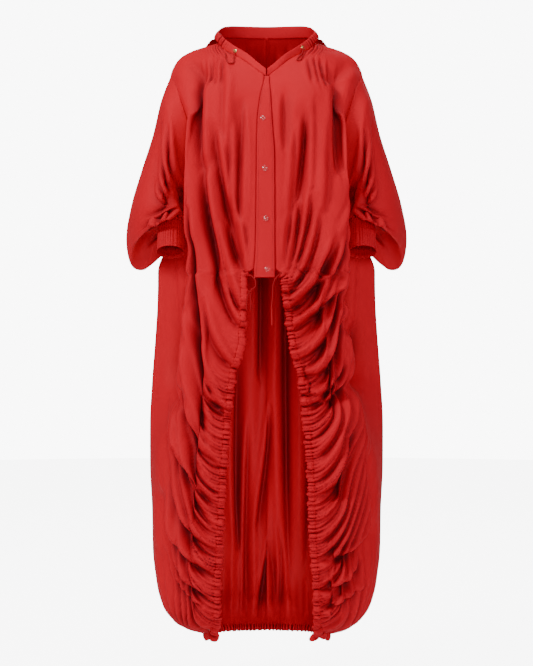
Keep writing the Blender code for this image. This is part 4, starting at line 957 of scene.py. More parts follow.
@dataclass(frozen=True)
class PolishedBrass:
    """Rolled brass, polished and lacquered: pale gold with faint handling marks."""

    name: str = "eyelet_brass"
    colour: str = "#E6D08A"
    marks: float = 700.0          # a metre: 1.4 mm each

    def make(self) -> Material:
        """Builds the material.

        Returns:
            The material.
        """
        made, shader = new_material(self.name, {"Base Color": linear(self.colour),
                                                "Metallic": 1.0})
        place = add_node(made, "ShaderNodeTexCoord")
        marks = add_node(made, "ShaderNodeTexNoise", {"Scale": self.marks, "Detail": 3.0},
                         {"Vector": place.outputs["Object"]})
        rough = add_node(made, "ShaderNodeMapRange", {"To Min": 0.16, "To Max": 0.34},
                         {"Value": marks.outputs["Fac"]})
        made.node_tree.links.new(rough.outputs["Result"], shader.inputs["Roughness"])
        return made


@dataclass(frozen=True)
class SewingThread:
    """Spun polyester thread, a shade deeper than the cloth: fibrous and matte."""

    name: str = "sewing_thread"
    colour: str = "#A00412"
    twists: float = 1500.0        # a metre: 0.7 mm each
    twist_height: float = 0.0001

    def make(self) -> Material:
        """Builds the material.

        Returns:
            The material.
        """
        made, shader = new_material(self.name, {"Base Color": linear(self.colour),
                                                "Roughness": 0.6})
        place = add_node(made, "ShaderNodeTexCoord")
        twist = add_node(made, "ShaderNodeTexNoise", {"Scale": self.twists},
                         {"Vector": place.outputs["Object"]})
        bump = add_node(made, "ShaderNodeBump", {"Strength": 0.4, "Distance": self.twist_height},
                        {"Height": twist.outputs["Fac"]})
        made.node_tree.links.new(bump.outputs["Normal"], shader.inputs["Normal"])
        return made


@dataclass(frozen=True)
class Finishes:
    """The garment's finishes, made once."""

    cloth: Material
    cord: Material
    snap: Material
    brass: Material
    thread: Material

    @classmethod
    def made(cls) -> "Finishes":
        """Builds every finish."""
        return cls(WovenNylon().make(), BraidedCord().make(), SnapPaint().make(),
                   PolishedBrass().make(), SewingThread().make())


# ---------- making pieces


def lifted(points: Array) -> Array:
    """Points measured from the hem, moved to the model's own origin."""
    return np.asarray(points, float) - np.array((0.0, 0.0, SHOULDER_HEIGHT))


def linked(name: str, data: bpy.types.Mesh | bpy.types.Curve, finish: Material) -> Piece:
    """A piece of the mesh or curve, with its finish, in the scene."""
    piece = bpy.data.objects.new(name, data)
    data.materials.append(finish)
    bpy.context.scene.collection.objects.link(piece)
    return piece


def shell(name: str, grid: Array, finish: Material, ring: bool = False,
          wall: float = SHELL) -> Piece:
    """A thin cloth shell through a grid of points, with its map in metres.

    Args:
        name: the piece's name.
        grid: points by row and column.
        finish: its material.
        ring: whether each row closes on itself.
        wall: its thickness; none where it is 0.

    Returns:
        The piece.
    """
    rows, columns = grid.shape[:2]
    across = columns if ring else columns - 1
    row, place = np.meshgrid(np.arange(rows - 1), np.arange(across), indexing="ij")
    after = (place + 1) % columns
    faces = np.stack((row * columns + place, row * columns + after,
                      (row + 1) * columns + after, (row + 1) * columns + place), axis=-1)
    faces = faces.reshape(-1, 4)
    mesh = bpy.data.meshes.new(name)
    mesh.vertices.add(rows * columns)
    mesh.vertices.foreach_set("co", lifted(grid).ravel())
    mesh.loops.add(faces.size)
    mesh.loops.foreach_set("vertex_index", faces.ravel())
    mesh.polygons.add(len(faces))
    mesh.polygons.foreach_set("loop_start", np.arange(0, faces.size, 4))
    closed = np.concatenate((grid, grid[:, :1]), axis=1) if ring else grid
    u = runs(closed)
    u = u - u[:, -1:] / 2.0
    v = drops(closed)
    corner_rows = np.stack((row, row, row + 1, row + 1), axis=-1).reshape(-1)
    corner_places = np.stack((place, place + 1, place + 1, place), axis=-1).reshape(-1)
    chart = mesh.uv_layers.new(name="cloth")
    chart.data.foreach_set("uv", np.stack((u[corner_rows, corner_places],
                                           v[corner_rows, corner_places]), axis=-1).ravel())
    mesh.update()
    mesh.validate()
    mesh.shade_smooth()
    piece = linked(name, mesh, finish)
    if wall > 0.0:
        thick = piece.modifiers.new("wall", "SOLIDIFY")
        thick.thickness = wall
        thick.offset = 0.0
    return piece


def tube_rows(line: Array, wide: Array, thick: Array, sides: int) -> Array:
    """Rings of a flat tube along a line.

    Args:
        line: points of its middle.
        wide: half of its width as a vector, one a point.
        thick: half of its thickness as a vector, one a point.
        sides: points of a ring.

    Returns:
        Points by place along the line and place round the ring.
    """
    turn = full_turn(sides)
    return (line[:, None] + wide[:, None] * np.cos(turn)[None, :, None]
            + thick[:, None] * np.sin(turn)[None, :, None])


def finish_piece(piece: Piece, slot: str, *nodes: str) -> Piece:
    """Lets a piece ride on the body and replace its nodes."""
    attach(piece, "root")
    if nodes:
        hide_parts(*nodes)
    LOG.info("%s: %d faces", piece.name, len(piece.data.polygons)
             if piece.type == "MESH" else 0)
    return piece


def deselect() -> None:
    """Deselects everything, so that operators act on the new primitive alone."""
    if bpy.context.mode != "OBJECT":
        bpy.ops.object.mode_set(mode="OBJECT")
    bpy.ops.object.select_all(action="DESELECT")


def settled(piece: Piece, matrix: Matrix) -> None:
    """Puts a piece's place into its mesh and leaves its object at the origin."""
    piece.data.transform(matrix @ piece.matrix_basis)
    piece.matrix_basis = Matrix.Identity(4)


@dataclass(frozen=True)
class Lockstitch:
    """A lockstitch in spun thread: a small raised bar on the cloth."""

    pitch: float = 0.0042         # a stitch with its gap
    start: float = 0.12           # where the thread comes up in a pitch
    end: float = 0.80             # and where it goes down
    half_width: float = 0.00032
    sunk: float = 0.0003
    raised: float = 0.00035

    def row(self, name: str, line: Array, outward: Array, finish: Material) -> Piece:
        """Sews a row of stitches along a line.

        Args:
            name: the piece's name.
            line: points of the seam.
            outward: outward directions, one a point.
            finish: the thread.

        Returns:
            The piece.
        """
        reach = length_along(line)
        vertices, faces = [], []
        for number in range(max(1, int(reach[-1] / self.pitch))):
            start, end = (points_at((number + share) * self.pitch, reach, line)
                          for share in (self.start, self.end))
            up = unit(points_at((number + self.start) * self.pitch, reach, outward))
            beside = np.cross(unit(end - start), up) * self.half_width
            base = len(vertices)
            for point in (start, end):
                vertices.extend(point + offset for offset in
                                (-beside - up * self.sunk, beside - up * self.sunk,
                                 beside + up * self.raised, -beside + up * self.raised))
            faces.extend(tuple(base + corner for corner in face) for face in
                         ((0, 3, 2, 1), (4, 5, 6, 7),
                          (0, 1, 5, 4), (1, 2, 6, 5), (2, 3, 7, 6), (3, 0, 4, 7)))
        mesh = bpy.data.meshes.new(name)
        mesh.from_pydata([tuple(point) for point in lifted(np.array(vertices))], [], faces)
        mesh.shade_smooth()
        return linked(name, mesh, finish)


@dataclass(frozen=True)
class MetalBlank:
    """A round blank of sheet metal, pressed in steps, with a rolled rim."""

    vertices: int
    radius: float
    depth: float
    steps: tuple[tuple[float, float], ...]       # inset and rise of each, from the rim in
    roll: float
    roll_segments: int
    crisp: float = math.radians(28.0)            # edges sharper than this are rolled

    def pressed(self, name: str, place: Array, facing: Array, finish: Material) -> Piece:
        """Presses the blank and sets it in its place.

        Args:
            name: the piece's name.
            place: the middle of the blank.
            facing: which way it faces.
            finish: its material.

        Returns:
            The piece.
        """
        deselect()
        bpy.ops.mesh.primitive_cylinder_add(vertices=self.vertices, radius=self.radius,
                                            depth=self.depth, end_fill_type="NGON")
        piece = bpy.context.object
        piece.name = piece.data.name = name
        bpy.ops.object.mode_set(mode="EDIT")
        mesh = bmesh.from_edit_mesh(piece.data)
        for face in mesh.faces:
            face.select_set(face.normal.z > 0.9)
        bmesh.update_edit_mesh(piece.data)
        for inset, rise in self.steps:
            bpy.ops.mesh.inset(thickness=inset, depth=rise)
        bpy.ops.object.mode_set(mode="OBJECT")
        bevel = piece.modifiers.new("rolled", "BEVEL")
        bevel.width = self.roll
        bevel.segments = self.roll_segments
        bevel.angle_limit = self.crisp
        bpy.ops.object.modifier_apply(modifier=bevel.name)
        piece.data.shade_smooth()
        turn = Vector((0.0, 0.0, 1.0)).rotation_difference(Vector(facing)).to_matrix().to_4x4()
        settled(piece, Matrix.Translation(Vector(lifted(place))) @ turn)
        piece.data.materials.append(finish)
        return piece


# ---------- the pieces


@dataclass
class FrontPanel:
    """One long front, with its folds, swags and gathers."""

    side: Side
    columns: int = 84
    fine_step: float = 0.0026     # between rows below the band's foot
    coarse_step: float = 0.0052   # and above it
    edge_hold: float = 0.030      # the band's seam keeps the cloth flat this far
    gather_height: float = 0.0062
    gather_length: float = 0.034  # mean length of a small gather
    broad_pitch: float = 2.3      # of the broad gathers, in pitches of the small ones
    broad_place: float = 0.020    # where they are highest, from the edge
    broad_reach: float = 0.125
    swag_height: float = 0.0105
    swag_pitch: float = 0.043
    swag_reach: float = 0.25
    corner_lift: float = 0.016    # the hem's corner is drawn up into its gathers
    corner_size: tuple[float, float] = (0.070, 0.045)
    flat: tuple[float, float] = (0.46, 1.44)
    area: float = 0.48

    def __post_init__(self) -> None:
        """Shapes the panel, so that its neighbours can be built on its edges."""
        self.heights = np.concatenate((
            np.arange(PANEL_FOOT, BAND_FOOT, self.fine_step), (BAND_FOOT,),
            np.arange(BAND_FOOT + 0.004, PANEL_TOP, self.coarse_step), (PANEL_TOP,)))
        base = front_surface(self.side, np.linspace(0.0, 1.0, self.columns + 1), self.heights)
        outward = normals_of(base) * self.side.value
        from_edge = runs(base)
        from_seam = from_edge[:, -1:] - from_edge
        height = base[..., 2]
        below_band = faded(BAND_FOOT + 0.016 - height, 0.030)
        keep = faded(from_seam, SEAM_HOLD) * faded(PANEL_TOP - height, 0.020)
        keep *= np.maximum(faded(from_edge, self.edge_hold), below_band)
        keep_folds = faded(from_seam, FOLD_HOLD) * faded(from_edge, FOLD_HOLD)
        keep_folds *= faded(PANEL_TOP - height, FOLD_HOLD) * faded(height - PANEL_FOOT, FOLD_HOLD)
        rows = LEFT_FRONT_CREASES if self.side is Side.LEFT else RIGHT_FRONT_CREASES
        inward = solid_folds(base, FOLDS[self.side], True) * keep_folds
        inward += pressed(base, outward, rows, View.FRONT) * keep
        inward -= self.swags(from_edge, height) * keep * faded(from_edge, self.edge_hold)
        inward -= self.edge_gathers(from_edge, height) * faded(from_seam, SEAM_HOLD)
        inward -= self.collar_gathers(from_edge, height) * faded(from_seam, SEAM_HOLD)
        self.grid = base - outward * inward[..., None]
        wide, tall = self.corner_size
        corner = np.exp(-((height - PANEL_FOOT) / tall) ** 2 - (from_edge / wide) ** 2)
        self.grid[..., 2] += self.corner_lift * corner

    def flow(self, from_edge: Array, height: Array) -> Array:
        """Height at which the gather through a point leaves the casing."""
        near, far = np.clip(from_edge, 0.0, 0.08), np.clip(from_edge - 0.08, 0.0, 0.17)
        return height - (0.12 * near + 13.0 * near**2 + 1.8 * far)

    def swags(self, from_edge: Array, height: Array) -> Array:
        """Rounded swags that hang between the casing and the side."""
        leaves = self.flow(from_edge, height)
        ridge, chance = gathers(leaves, self.swag_pitch, 1.3 + self.side.value)
        top = 0.62 if self.side is Side.LEFT else 0.80
        where = faded(top - leaves, 0.12) * faded(self.swag_reach - from_edge, 0.16)
        return self.swag_height * (ridge**2.2 * (0.7 + 0.6 * chance) - 0.45) * where

    def edge_gathers(self, from_edge: Array, height: Array) -> Array:
        """Small and broad gathers that fan out from the casing, calmer up the left edge."""
        leaves = self.flow(from_edge, height)
        ridge, chance = gathers(leaves, GATHER_PITCH, 0.6 + self.side.value)
        fade = np.exp(-from_edge / (0.016 + 0.060 * chance**2))
        small = ridge * fade - 0.35 * np.exp(-from_edge / self.gather_length)
        ridge, chance = gathers(leaves, GATHER_PITCH * self.broad_pitch, 3.1 + self.side.value)
        away = from_edge - self.broad_place
        fade = np.exp(-(away / (0.030 + 0.050 * chance)) ** 2)
        broad = 0.8 * ridge * fade - 0.4 * np.exp(-(away / 0.052) ** 2)
        broad = broad * faded(self.broad_reach - from_edge, 0.060)
        if self.side is Side.LEFT:
            small = small * (1.0 - 0.7 * faded(height - 0.58, 0.08))
            broad = broad * (1.0 - faded(height - 0.56, 0.10))
        return self.gather_height * (small + broad) * faded(BAND_FOOT + 0.010 - leaves, 0.030)

    def collar_gathers(self, from_edge: Array, height: Array) -> Array:
        """Short gathers that fall from the collar's scrunched part."""
        ridge, chance = gathers(height + 1.3 * from_edge, SCRUNCH_PITCH, 2.4 - self.side.value)
        fade = np.exp(-from_edge / (0.020 + 0.034 * chance)) * faded(from_edge, 0.006)
        where = faded(height - 1.333, 0.016) * faded(PANEL_TOP - height, 0.008)
        level = 0.4 * np.exp(-from_edge / self.gather_length)
        return self.gather_height * (ridge * fade - level) * where

    def edge_row(self, height: float) -> int:
        """Row of the panel nearest a height."""
        return int(np.argmin(np.abs(self.heights - height)))

    def build(self, finishes: Finishes) -> None:
        """Makes the panel's piece.

        Args:
            finishes: the garment's finishes.
        """
        name = "front_panel_" + self.side.word
        piece = shell(name, self.grid, finishes.cloth)
        finish_piece(piece, "cloth", "front_" + self.side.word)


@dataclass
class BackPanel:
    """The back, hanging in long upright folds to the elastic hem."""

    columns: int = 168
    fine_step: float = 0.004      # between rows in the hem's gathers
    coarse_step: float = 0.008    # and above them
    gathers_top: float = 0.16
    hem_gather: float = 0.0040
    hem_pleat: float = 0.0240
    pleat_pitch: float = 0.034
    flat: tuple[float, float] = (0.74, 1.44)
    area: float = 0.95

    def __post_init__(self) -> None:
        """Shapes the panel, so that its neighbours can be built on its edges."""
        heights = np.concatenate((np.arange(PANEL_FOOT, self.gathers_top, self.fine_step),
                                  np.arange(self.gathers_top, PANEL_TOP, self.coarse_step),
                                  (PANEL_TOP,)))
        half = self.columns // 2
        base = back_surface(np.arange(-half, half + 1) / half, heights)
        outward = -normals_of(base)
        run = runs(base)
        seam = np.minimum(run, run[:, -1:] - run)
        height = heights[:, None] * np.ones_like(run)
        keep = faded(seam, SEAM_HOLD) * faded(PANEL_TOP - height, 0.040)
        keep_folds = faded(seam, FOLD_HOLD) * faded(PANEL_TOP - height, 0.080)
        keep_folds *= faded(height, FOLD_HOLD)
        inward = solid_folds(base, BACK_FOLDS, False) * keep_folds
        inward += pressed(base, outward, BACK_CREASES, View.BACK, False) * keep
        place = run - run[:, half:half + 1] + 1.0
        above = height - PANEL_FOOT
        ridge, chance = gathers(place, SCRUNCH_PITCH, 0.4)
        rise = ridge * np.exp(-above / (0.018 + 0.060 * chance**2)) - 0.4 * np.exp(-above / 0.042)
        inward -= self.hem_gather * rise * faded(seam, 0.010)
        ridge, chance = gathers(place, self.pleat_pitch, 2.7)
        rise = ridge * np.exp(-height / (0.080 + 0.110 * chance)) - 0.5 * np.exp(-height / 0.130)
        inward -= self.hem_pleat * rise * faded(height - 0.022, 0.035) * faded(seam, 0.020)
        self.grid = base - outward * inward[..., None]

    def build(self, finishes: Finishes) -> None:
        """Makes the panel's piece.

        Args:
            finishes: the garment's finishes.
        """
        piece = shell("back_panel", self.grid[:, ::-1], finishes.cloth)
        finish_piece(piece, "cloth", "back")


@dataclass
class FrontCasing:
    """The drawcord casing of a lower front edge: a folded strip, strongly gathered."""

    panel: FrontPanel
    step: float = 0.0014
    sides: int = 14
    thickness: float = 0.0076
    overlap: float = 0.0022       # how far it reaches over the panel's edge
    foot_round: float = 0.012     # length of its rounded lower end
    flare_length: float = 0.030   # over this it widens towards the hem
    start: float = 0.016          # how far below the band's foot its upper end lies
    flat: tuple[float, float] = (0.040, 1.15)

    def build(self, finishes: Finishes) -> None:
        """Makes the casing along the panel's edge, down past the hem's casing.

        Args:
            finishes: the garment's finishes.
        """
        side = self.panel.side
        top = self.panel.edge_row(BAND_FOOT)
        edge = self.panel.grid[:top + 1, 0]
        foot = edge[0] + np.array((-0.003 * side.value, 0.003, -0.15 * HEM_HEIGHT))
        edge = np.concatenate((foot[None], edge))
        reach = length_along(edge)
        places = np.arange(0.0, reach[-1] - self.start, self.step)
        line = points_at(places, reach, edge)
        base = front_surface(side, np.array((0.0, 0.06)), self.panel.heights[:top + 1])
        away = base[:, 0] - base[:, 1]
        away = points_at(places, reach, np.concatenate((away[:1], away)))
        along = evened(unit(np.gradient(line, axis=0)), 30)
        away = evened(unit(away - along * np.sum(away * along, axis=1, keepdims=True)), 60)
        outward = unit(np.cross(along, away)) * -side.value
        ridge, chance = gathers(line[:, 2], GATHER_PITCH, 0.6 + side.value)
        fine, _ = gathers(places, GATHER_PITCH * 0.43, 2.2 - side.value)
        pinch = faded(places[-1] - places, 0.006)[:, None] * 0.5 + 0.5
        rounded = 1.0 - np.clip(places / self.foot_round, 0.03, 1.0)
        pinch *= np.sqrt(1.0 - rounded**2)[:, None]
        flare = np.exp(-(places / self.flare_length) ** 2)[:, None]
        fullness = (0.66 + 0.36 * ridge + 0.34 * (chance - 0.5))[:, None]
        wide = away * CASING_WIDTH / 2.0 * fullness * pinch * (1.0 + 1.3 * flare)
        swell = (0.28 + 0.86 * ridge + 0.30 * fine)[:, None]
        thick = outward * self.thickness / 2.0 * swell * pinch * (1.0 + 0.6 * flare)
        lean = outward * (0.0044 * (chance - 0.5) + 0.0040 * (ridge - 0.5))[:, None]
        lean = lean + away * (0.0030 * (chance - 0.5))[:, None]
        middle = line + away * (CASING_WIDTH / 2.0 - self.overlap + 0.007 * flare) + lean
        rings = tube_rows(middle, wide, thick, self.sides)
        if side is Side.RIGHT:
            rings = rings[:, ::-1]
        piece = shell("drawcord_casing_" + side.word, rings, finishes.cloth, ring=True)
        finish_piece(piece, "cloth", "front_casing_" + side.word)


@dataclass
class HemCasing:
    """The elastic casing round the hem, from one front casing to the other."""

    fronts: dict[Side, FrontPanel]
    back: BackPanel
    step: float = 0.0016
    sides: int = 14
    thickness: float = 0.0075
    end_gap: float = 0.004        # between its ends and the front edges
    overlap: float = 0.0015       # how far it reaches over the panels' edges
    roll_length: float = 0.055    # over this its ends roll under
    flat: tuple[float, float] = (0.042, 0.76)

    def build(self, finishes: Finishes) -> None:
        """Makes the casing.

        Args:
            finishes: the garment's finishes.
        """
        lines = []
        for row in (0, 3):
            left, right = self.fronts[Side.LEFT].grid[row], self.fronts[Side.RIGHT].grid[row][::-1]
            lines.append(np.concatenate((left[:-1], self.back.grid[row], right[1:])))
        edge, above = lines
        reach = length_along(edge)
        places = np.arange(self.end_gap, reach[-1] - self.end_gap, self.step)
        line, above = points_at(places, reach, edge), points_at(places, reach, above)
        along = evened(unit(np.gradient(line, axis=0)), 60)
        away = evened(unit(unit(line - above) * 0.5 + np.array((0.0, 0.0, -0.5))), 60)
        from_end = np.minimum(places, places[-1] - places)
        roll = np.exp(-(from_end / self.roll_length) ** 2)[:, None]
        away = away * (1.0 - roll) + np.array((0.0, 0.97, -0.25)) * roll
        away = unit(away - along * np.sum(away * along, axis=1, keepdims=True))
        outward = unit(np.cross(away, along))
        ridge, chance = gathers(places, 0.0080, 0.4)
        fine, _ = gathers(places, 0.0037, 1.9)
        swell = (0.40 + 0.80 * ridge + 0.20 * fine)[:, None]
        lean = outward * (0.0042 * (ridge - 0.5))[:, None]
        middle = line + away * (HEM_HEIGHT / 2.0 - self.overlap) + lean
        wide = away * HEM_HEIGHT / 2.0 * (0.95 + 0.12 * (chance - 0.5))[:, None]
        rings = tube_rows(middle, wide, outward * self.thickness / 2.0 * swell, self.sides)
        piece = shell("elastic_hem", rings, finishes.cloth, ring=True)
        finish_piece(piece, "cloth", "hem_casing")


@dataclass
class Sleeve:
    """A sleeve set in its dropped armhole, bloused over the cuff."""

    front: FrontPanel
    columns: int = 132
    rows: int = 96
    cuff_gather: float = 0.0030
    gather_length: float = 0.020  # mean length of a gather over the cuff
    tuck: float = 0.006           # how far the inner side hangs against the body
    tucked_from: float = 0.1945   # but only where it lies this far out
    flat: tuple[float, float] = (0.56, 0.46)
    area: float = 0.20

    def armhole(self) -> Array:
        """Points of the armhole at even angles.

        Returns:
            Points from the shoulder's end over the front edge and the underarm to the back.
        """
        heights = self.front.heights
        low, high = self.front.edge_row(UNDERARM), self.front.edge_row(SHOULDER_END)
        front_edge = self.front.grid[low:high + 1, -1][::-1]
        across, deep = guide(SIDE_SEAM, "back", heights[low:high + 1])
        back_edge = np.stack((across * self.front.side.value, deep, heights[low:high + 1]), axis=1)
        ring = np.concatenate((front_edge, back_edge[1:-1]))
        half = len(front_edge) - 1
        closed = np.concatenate((ring, ring[:1]))
        reach = length_along(closed)
        angle = np.where(np.arange(len(closed)) <= half, reach / reach[half],
                         1.0 + (reach - reach[half]) / (reach[-1] - reach[half])) * math.pi
        return points_at(full_turn(self.columns), angle, closed)

    def rings(self) -> Array:
        """Rings from the armhole to the cuff's top, smooth in both ways."""
        turn = full_turn(self.columns)[:, None]
        cosine, sine = np.cos(turn), np.sin(turn)
        made = [self.armhole()]
        for section in SLEEVE_RINGS + (Cuff.rim(0.0),):
            outer, front, inner, back = (np.array(point) for point in section)
            centre = (outer + front + inner + back) / 4.0
            out = np.where(cosine > 0, outer - centre, centre - inner)
            forward = np.where(sine > 0, front - centre, centre - back)
            ring = centre + out * cosine + forward * sine
            if section.inner[0] > self.tucked_from:
                ring[:, 0] -= self.tuck * np.clip(-cosine[:, 0], 0.0, 1.0)
            ring[:, 0] *= self.front.side.value
            made.append(ring)
        places = np.linspace(0.0, 1.0, self.rows + 1) ** 0.92 * (len(made) - 1)
        return smooth(np.arange(len(made)), np.array(made), places)

    def build(self, finishes: Finishes) -> None:
        """Makes the sleeve.

        Args:
            finishes: the garment's finishes.
        """
        side = self.front.side
        grid = self.rings()
        closed = np.concatenate((grid[:, -1:], grid, grid[:, :1]), axis=1)
        outward = normals_of(closed)[:, 1:-1]
        outward *= np.sign(outward[self.rows // 3, 0, 0] * side.value)
        from_top = drops(grid)
        from_rim = from_top[-1:] - from_top
        keep = faded(from_top, 0.025) * faded(from_rim, 0.020)
        inward = pressed(grid, outward, SLEEVE_CREASES, View.FRONT)
        inward += pressed(grid, outward, SLEEVE_BACK_CREASES, View.BACK)
        place = np.arange(self.columns)[None, :] / self.columns * 0.30 + 0.0 * from_rim
        ridge, chance = gathers(place, 0.01, 0.0)
        near = ridge * np.exp(-from_rim / (0.008 + 0.030 * chance**2))
        near -= 0.4 * np.exp(-from_rim / self.gather_length)
        inward = inward * keep - self.cuff_gather * near * faded(from_rim, 0.003)
        grid = grid - outward * inward[..., None]
        if side is Side.LEFT:
            grid = grid[:, ::-1]
        piece = shell("sleeve_cloth_" + side.word, grid, finishes.cloth, ring=True)
        finish_piece(piece, "cloth", "sleeve_" + side.word)


@dataclass
class Cuff:
    """A shirred cuff: a tube with ribs and five rows of elastic."""

    side: Side
    ribs: int = 30
    rib_height: float = 0.0015
    elastics: tuple[float, ...] = (0.08, 0.29, 0.50, 0.71, 0.90)      # shares of its length
    start: float = 0.0006         # off the sleeve's rim
    columns: int = 240
    rows: int = 30
    flat: tuple[float, float] = (0.24, 0.075)

    @staticmethod
    def rim(along: float) -> SleeveRing:
        """The four quarter points of the cuff's round section, so far along it."""
        axis = np.array((0.0, -math.sin(CUFF_TILT), -math.cos(CUFF_TILT)))
        forward = np.array((0.0, -math.cos(CUFF_TILT), math.sin(CUFF_TILT)))
        out = np.array((1.0, 0.0, 0.0))
        centre = np.array(CUFF_CENTRE) + axis * along
        return SleeveRing(centre + out * CUFF_RADIUS, centre + forward * CUFF_RADIUS,
                          centre - out * CUFF_RADIUS, centre - forward * CUFF_RADIUS)

    def build(self, finishes: Finishes) -> None:
        """Makes the cuff.

        Args:
            finishes: the garment's finishes.
        """
        turn = full_turn(self.columns)
        wobble = turn + 0.05 * np.sin(5.0 * turn) + 0.03 * np.sin(11.0 * turn + 1.0)
        rib = np.abs(np.sin(wobble * self.ribs / 2.0)) ** 0.8
        rows = []
        for share in np.linspace(0.0, 1.0, self.rows + 1):
            pinch = sum(math.exp(-((share - row) / 0.022) ** 2) for row in self.elastics)
            size = self.rib_height * (rib - 0.45) * (1.0 - 0.45 * pinch) - 0.0007 * pinch
            size = size * min(1.0, 0.2 + share * 12.0) + 0.0012 * max(0.0, share - 0.92) / 0.08
            rim = self.rim(self.start + (CUFF_LENGTH - self.start) * share)
            centre = (rim.outer + rim.inner) / 2.0
            ring = centre + ((rim.outer - centre) * np.cos(turn)[:, None]
                             + (rim.front - centre) * np.sin(turn)[:, None]
                             ) * (1.0 + size / CUFF_RADIUS)[:, None]
            ring[:, 0] *= self.side.value
            rows.append(ring)
        grid = np.array(rows)
        if self.side is Side.LEFT:
            grid = grid[:, ::-1]
        piece = shell("shirred_cuff_" + self.side.word, grid, finishes.cloth, ring=True)
        finish_piece(piece, "cloth", "cuff_" + self.side.word)


@dataclass
class Hood:
    """One half of the hood, laid back from the neckline over the bag to its casing."""

    side: Side
    columns: int = 60
    rows: int = 110
    tuck: float = 0.12            # how far it reaches into its casing, as a share of that
    seam_dip: float = 0.0022      # of the seam between the halves
    gather_height: float = 0.0030
    flat: tuple[float, float] = (0.27, 0.42)
    area: float = 0.095

    @staticmethod
    def off_the_back(place: float, height: float, lift: float) -> Array:
        """A point lying off the outside of the back."""
        near = back_surface(np.array((place - 0.02, place, place + 0.02)),
                            np.array((height - 0.008, height - 0.004, height)))
        return near[2, 1] - normals_of(near)[2, 1] * lift

    def build(self, finishes: Finishes) -> None:
        """Makes the hood half.

        Args:
            finishes: the garment's finishes.
        """
        sections = []
        top = BACK_SECTIONS[-1].height
        places = np.linspace(-1.0, 0.0, len(HOOD_SECTIONS))
        for place, section, collar in zip(places, HOOD_SECTIONS, COLLAR_SECTIONS):
            guides = [self.off_the_back(min(max(place, -0.98), -0.02),
                                        top + (section.lies_to - top) * share, lift)
                      for share, lift in zip((0.0, 0.5, 1.0), HOOD_LIFTS)]
            tucked = np.array(collar.sewn) * (1.0 - self.tuck) + np.array(collar.free) * self.tuck
            guides += [section.low, section.far, tucked]
            guides = np.array(guides)
            guides[:, 0] = -np.abs(guides[:, 0]) if place else 0.0
            sections.append(guides)
        sections = np.array(sections)
        between = smooth(np.arange(len(sections)), sections,
                         np.linspace(0, len(sections) - 1, self.columns + 1))
        grid = smooth(HOOD_KNOTS, between.transpose(1, 0, 2), np.linspace(0.0, 1.0, self.rows + 1))
        outward = normals_of(grid)
        outward *= np.sign(outward[-self.rows // 4, self.columns // 2, 1])
        v = np.linspace(0.0, 1.0, self.rows + 1)[:, None]
        seam = np.abs(grid[..., 0])
        keep = faded(1.0 - v, 0.10) * faded(v, 0.15) * faded(seam, 0.02)
        inward = pressed(grid, outward, HOOD_CREASES, View.BACK) * keep
        inward += self.seam_dip * np.exp(-(seam / 0.0032) ** 2) * faded(v, 0.1)
        ridge, chance = gathers(runs(grid) + 0.3, SCRUNCH_PITCH, 0.9)
        fade = np.exp(-(1.0 - v) / (0.03 + 0.10 * chance**2)) * faded(1.0 - v, 0.012)
        scrunched = faded(seam - 0.080, 0.03)
        inward -= self.gather_height * (ridge - 0.4) * fade * (0.25 + 0.75 * scrunched)
        grid = grid - outward * inward[..., None]
        grid[..., 0] *= -self.side.value
        if self.side is Side.LEFT:
            grid = grid[:, ::-1]
        piece = shell("hood_cloth_" + self.side.word, grid, finishes.cloth)
        finish_piece(piece, "cloth", "hood_" + self.side.word)


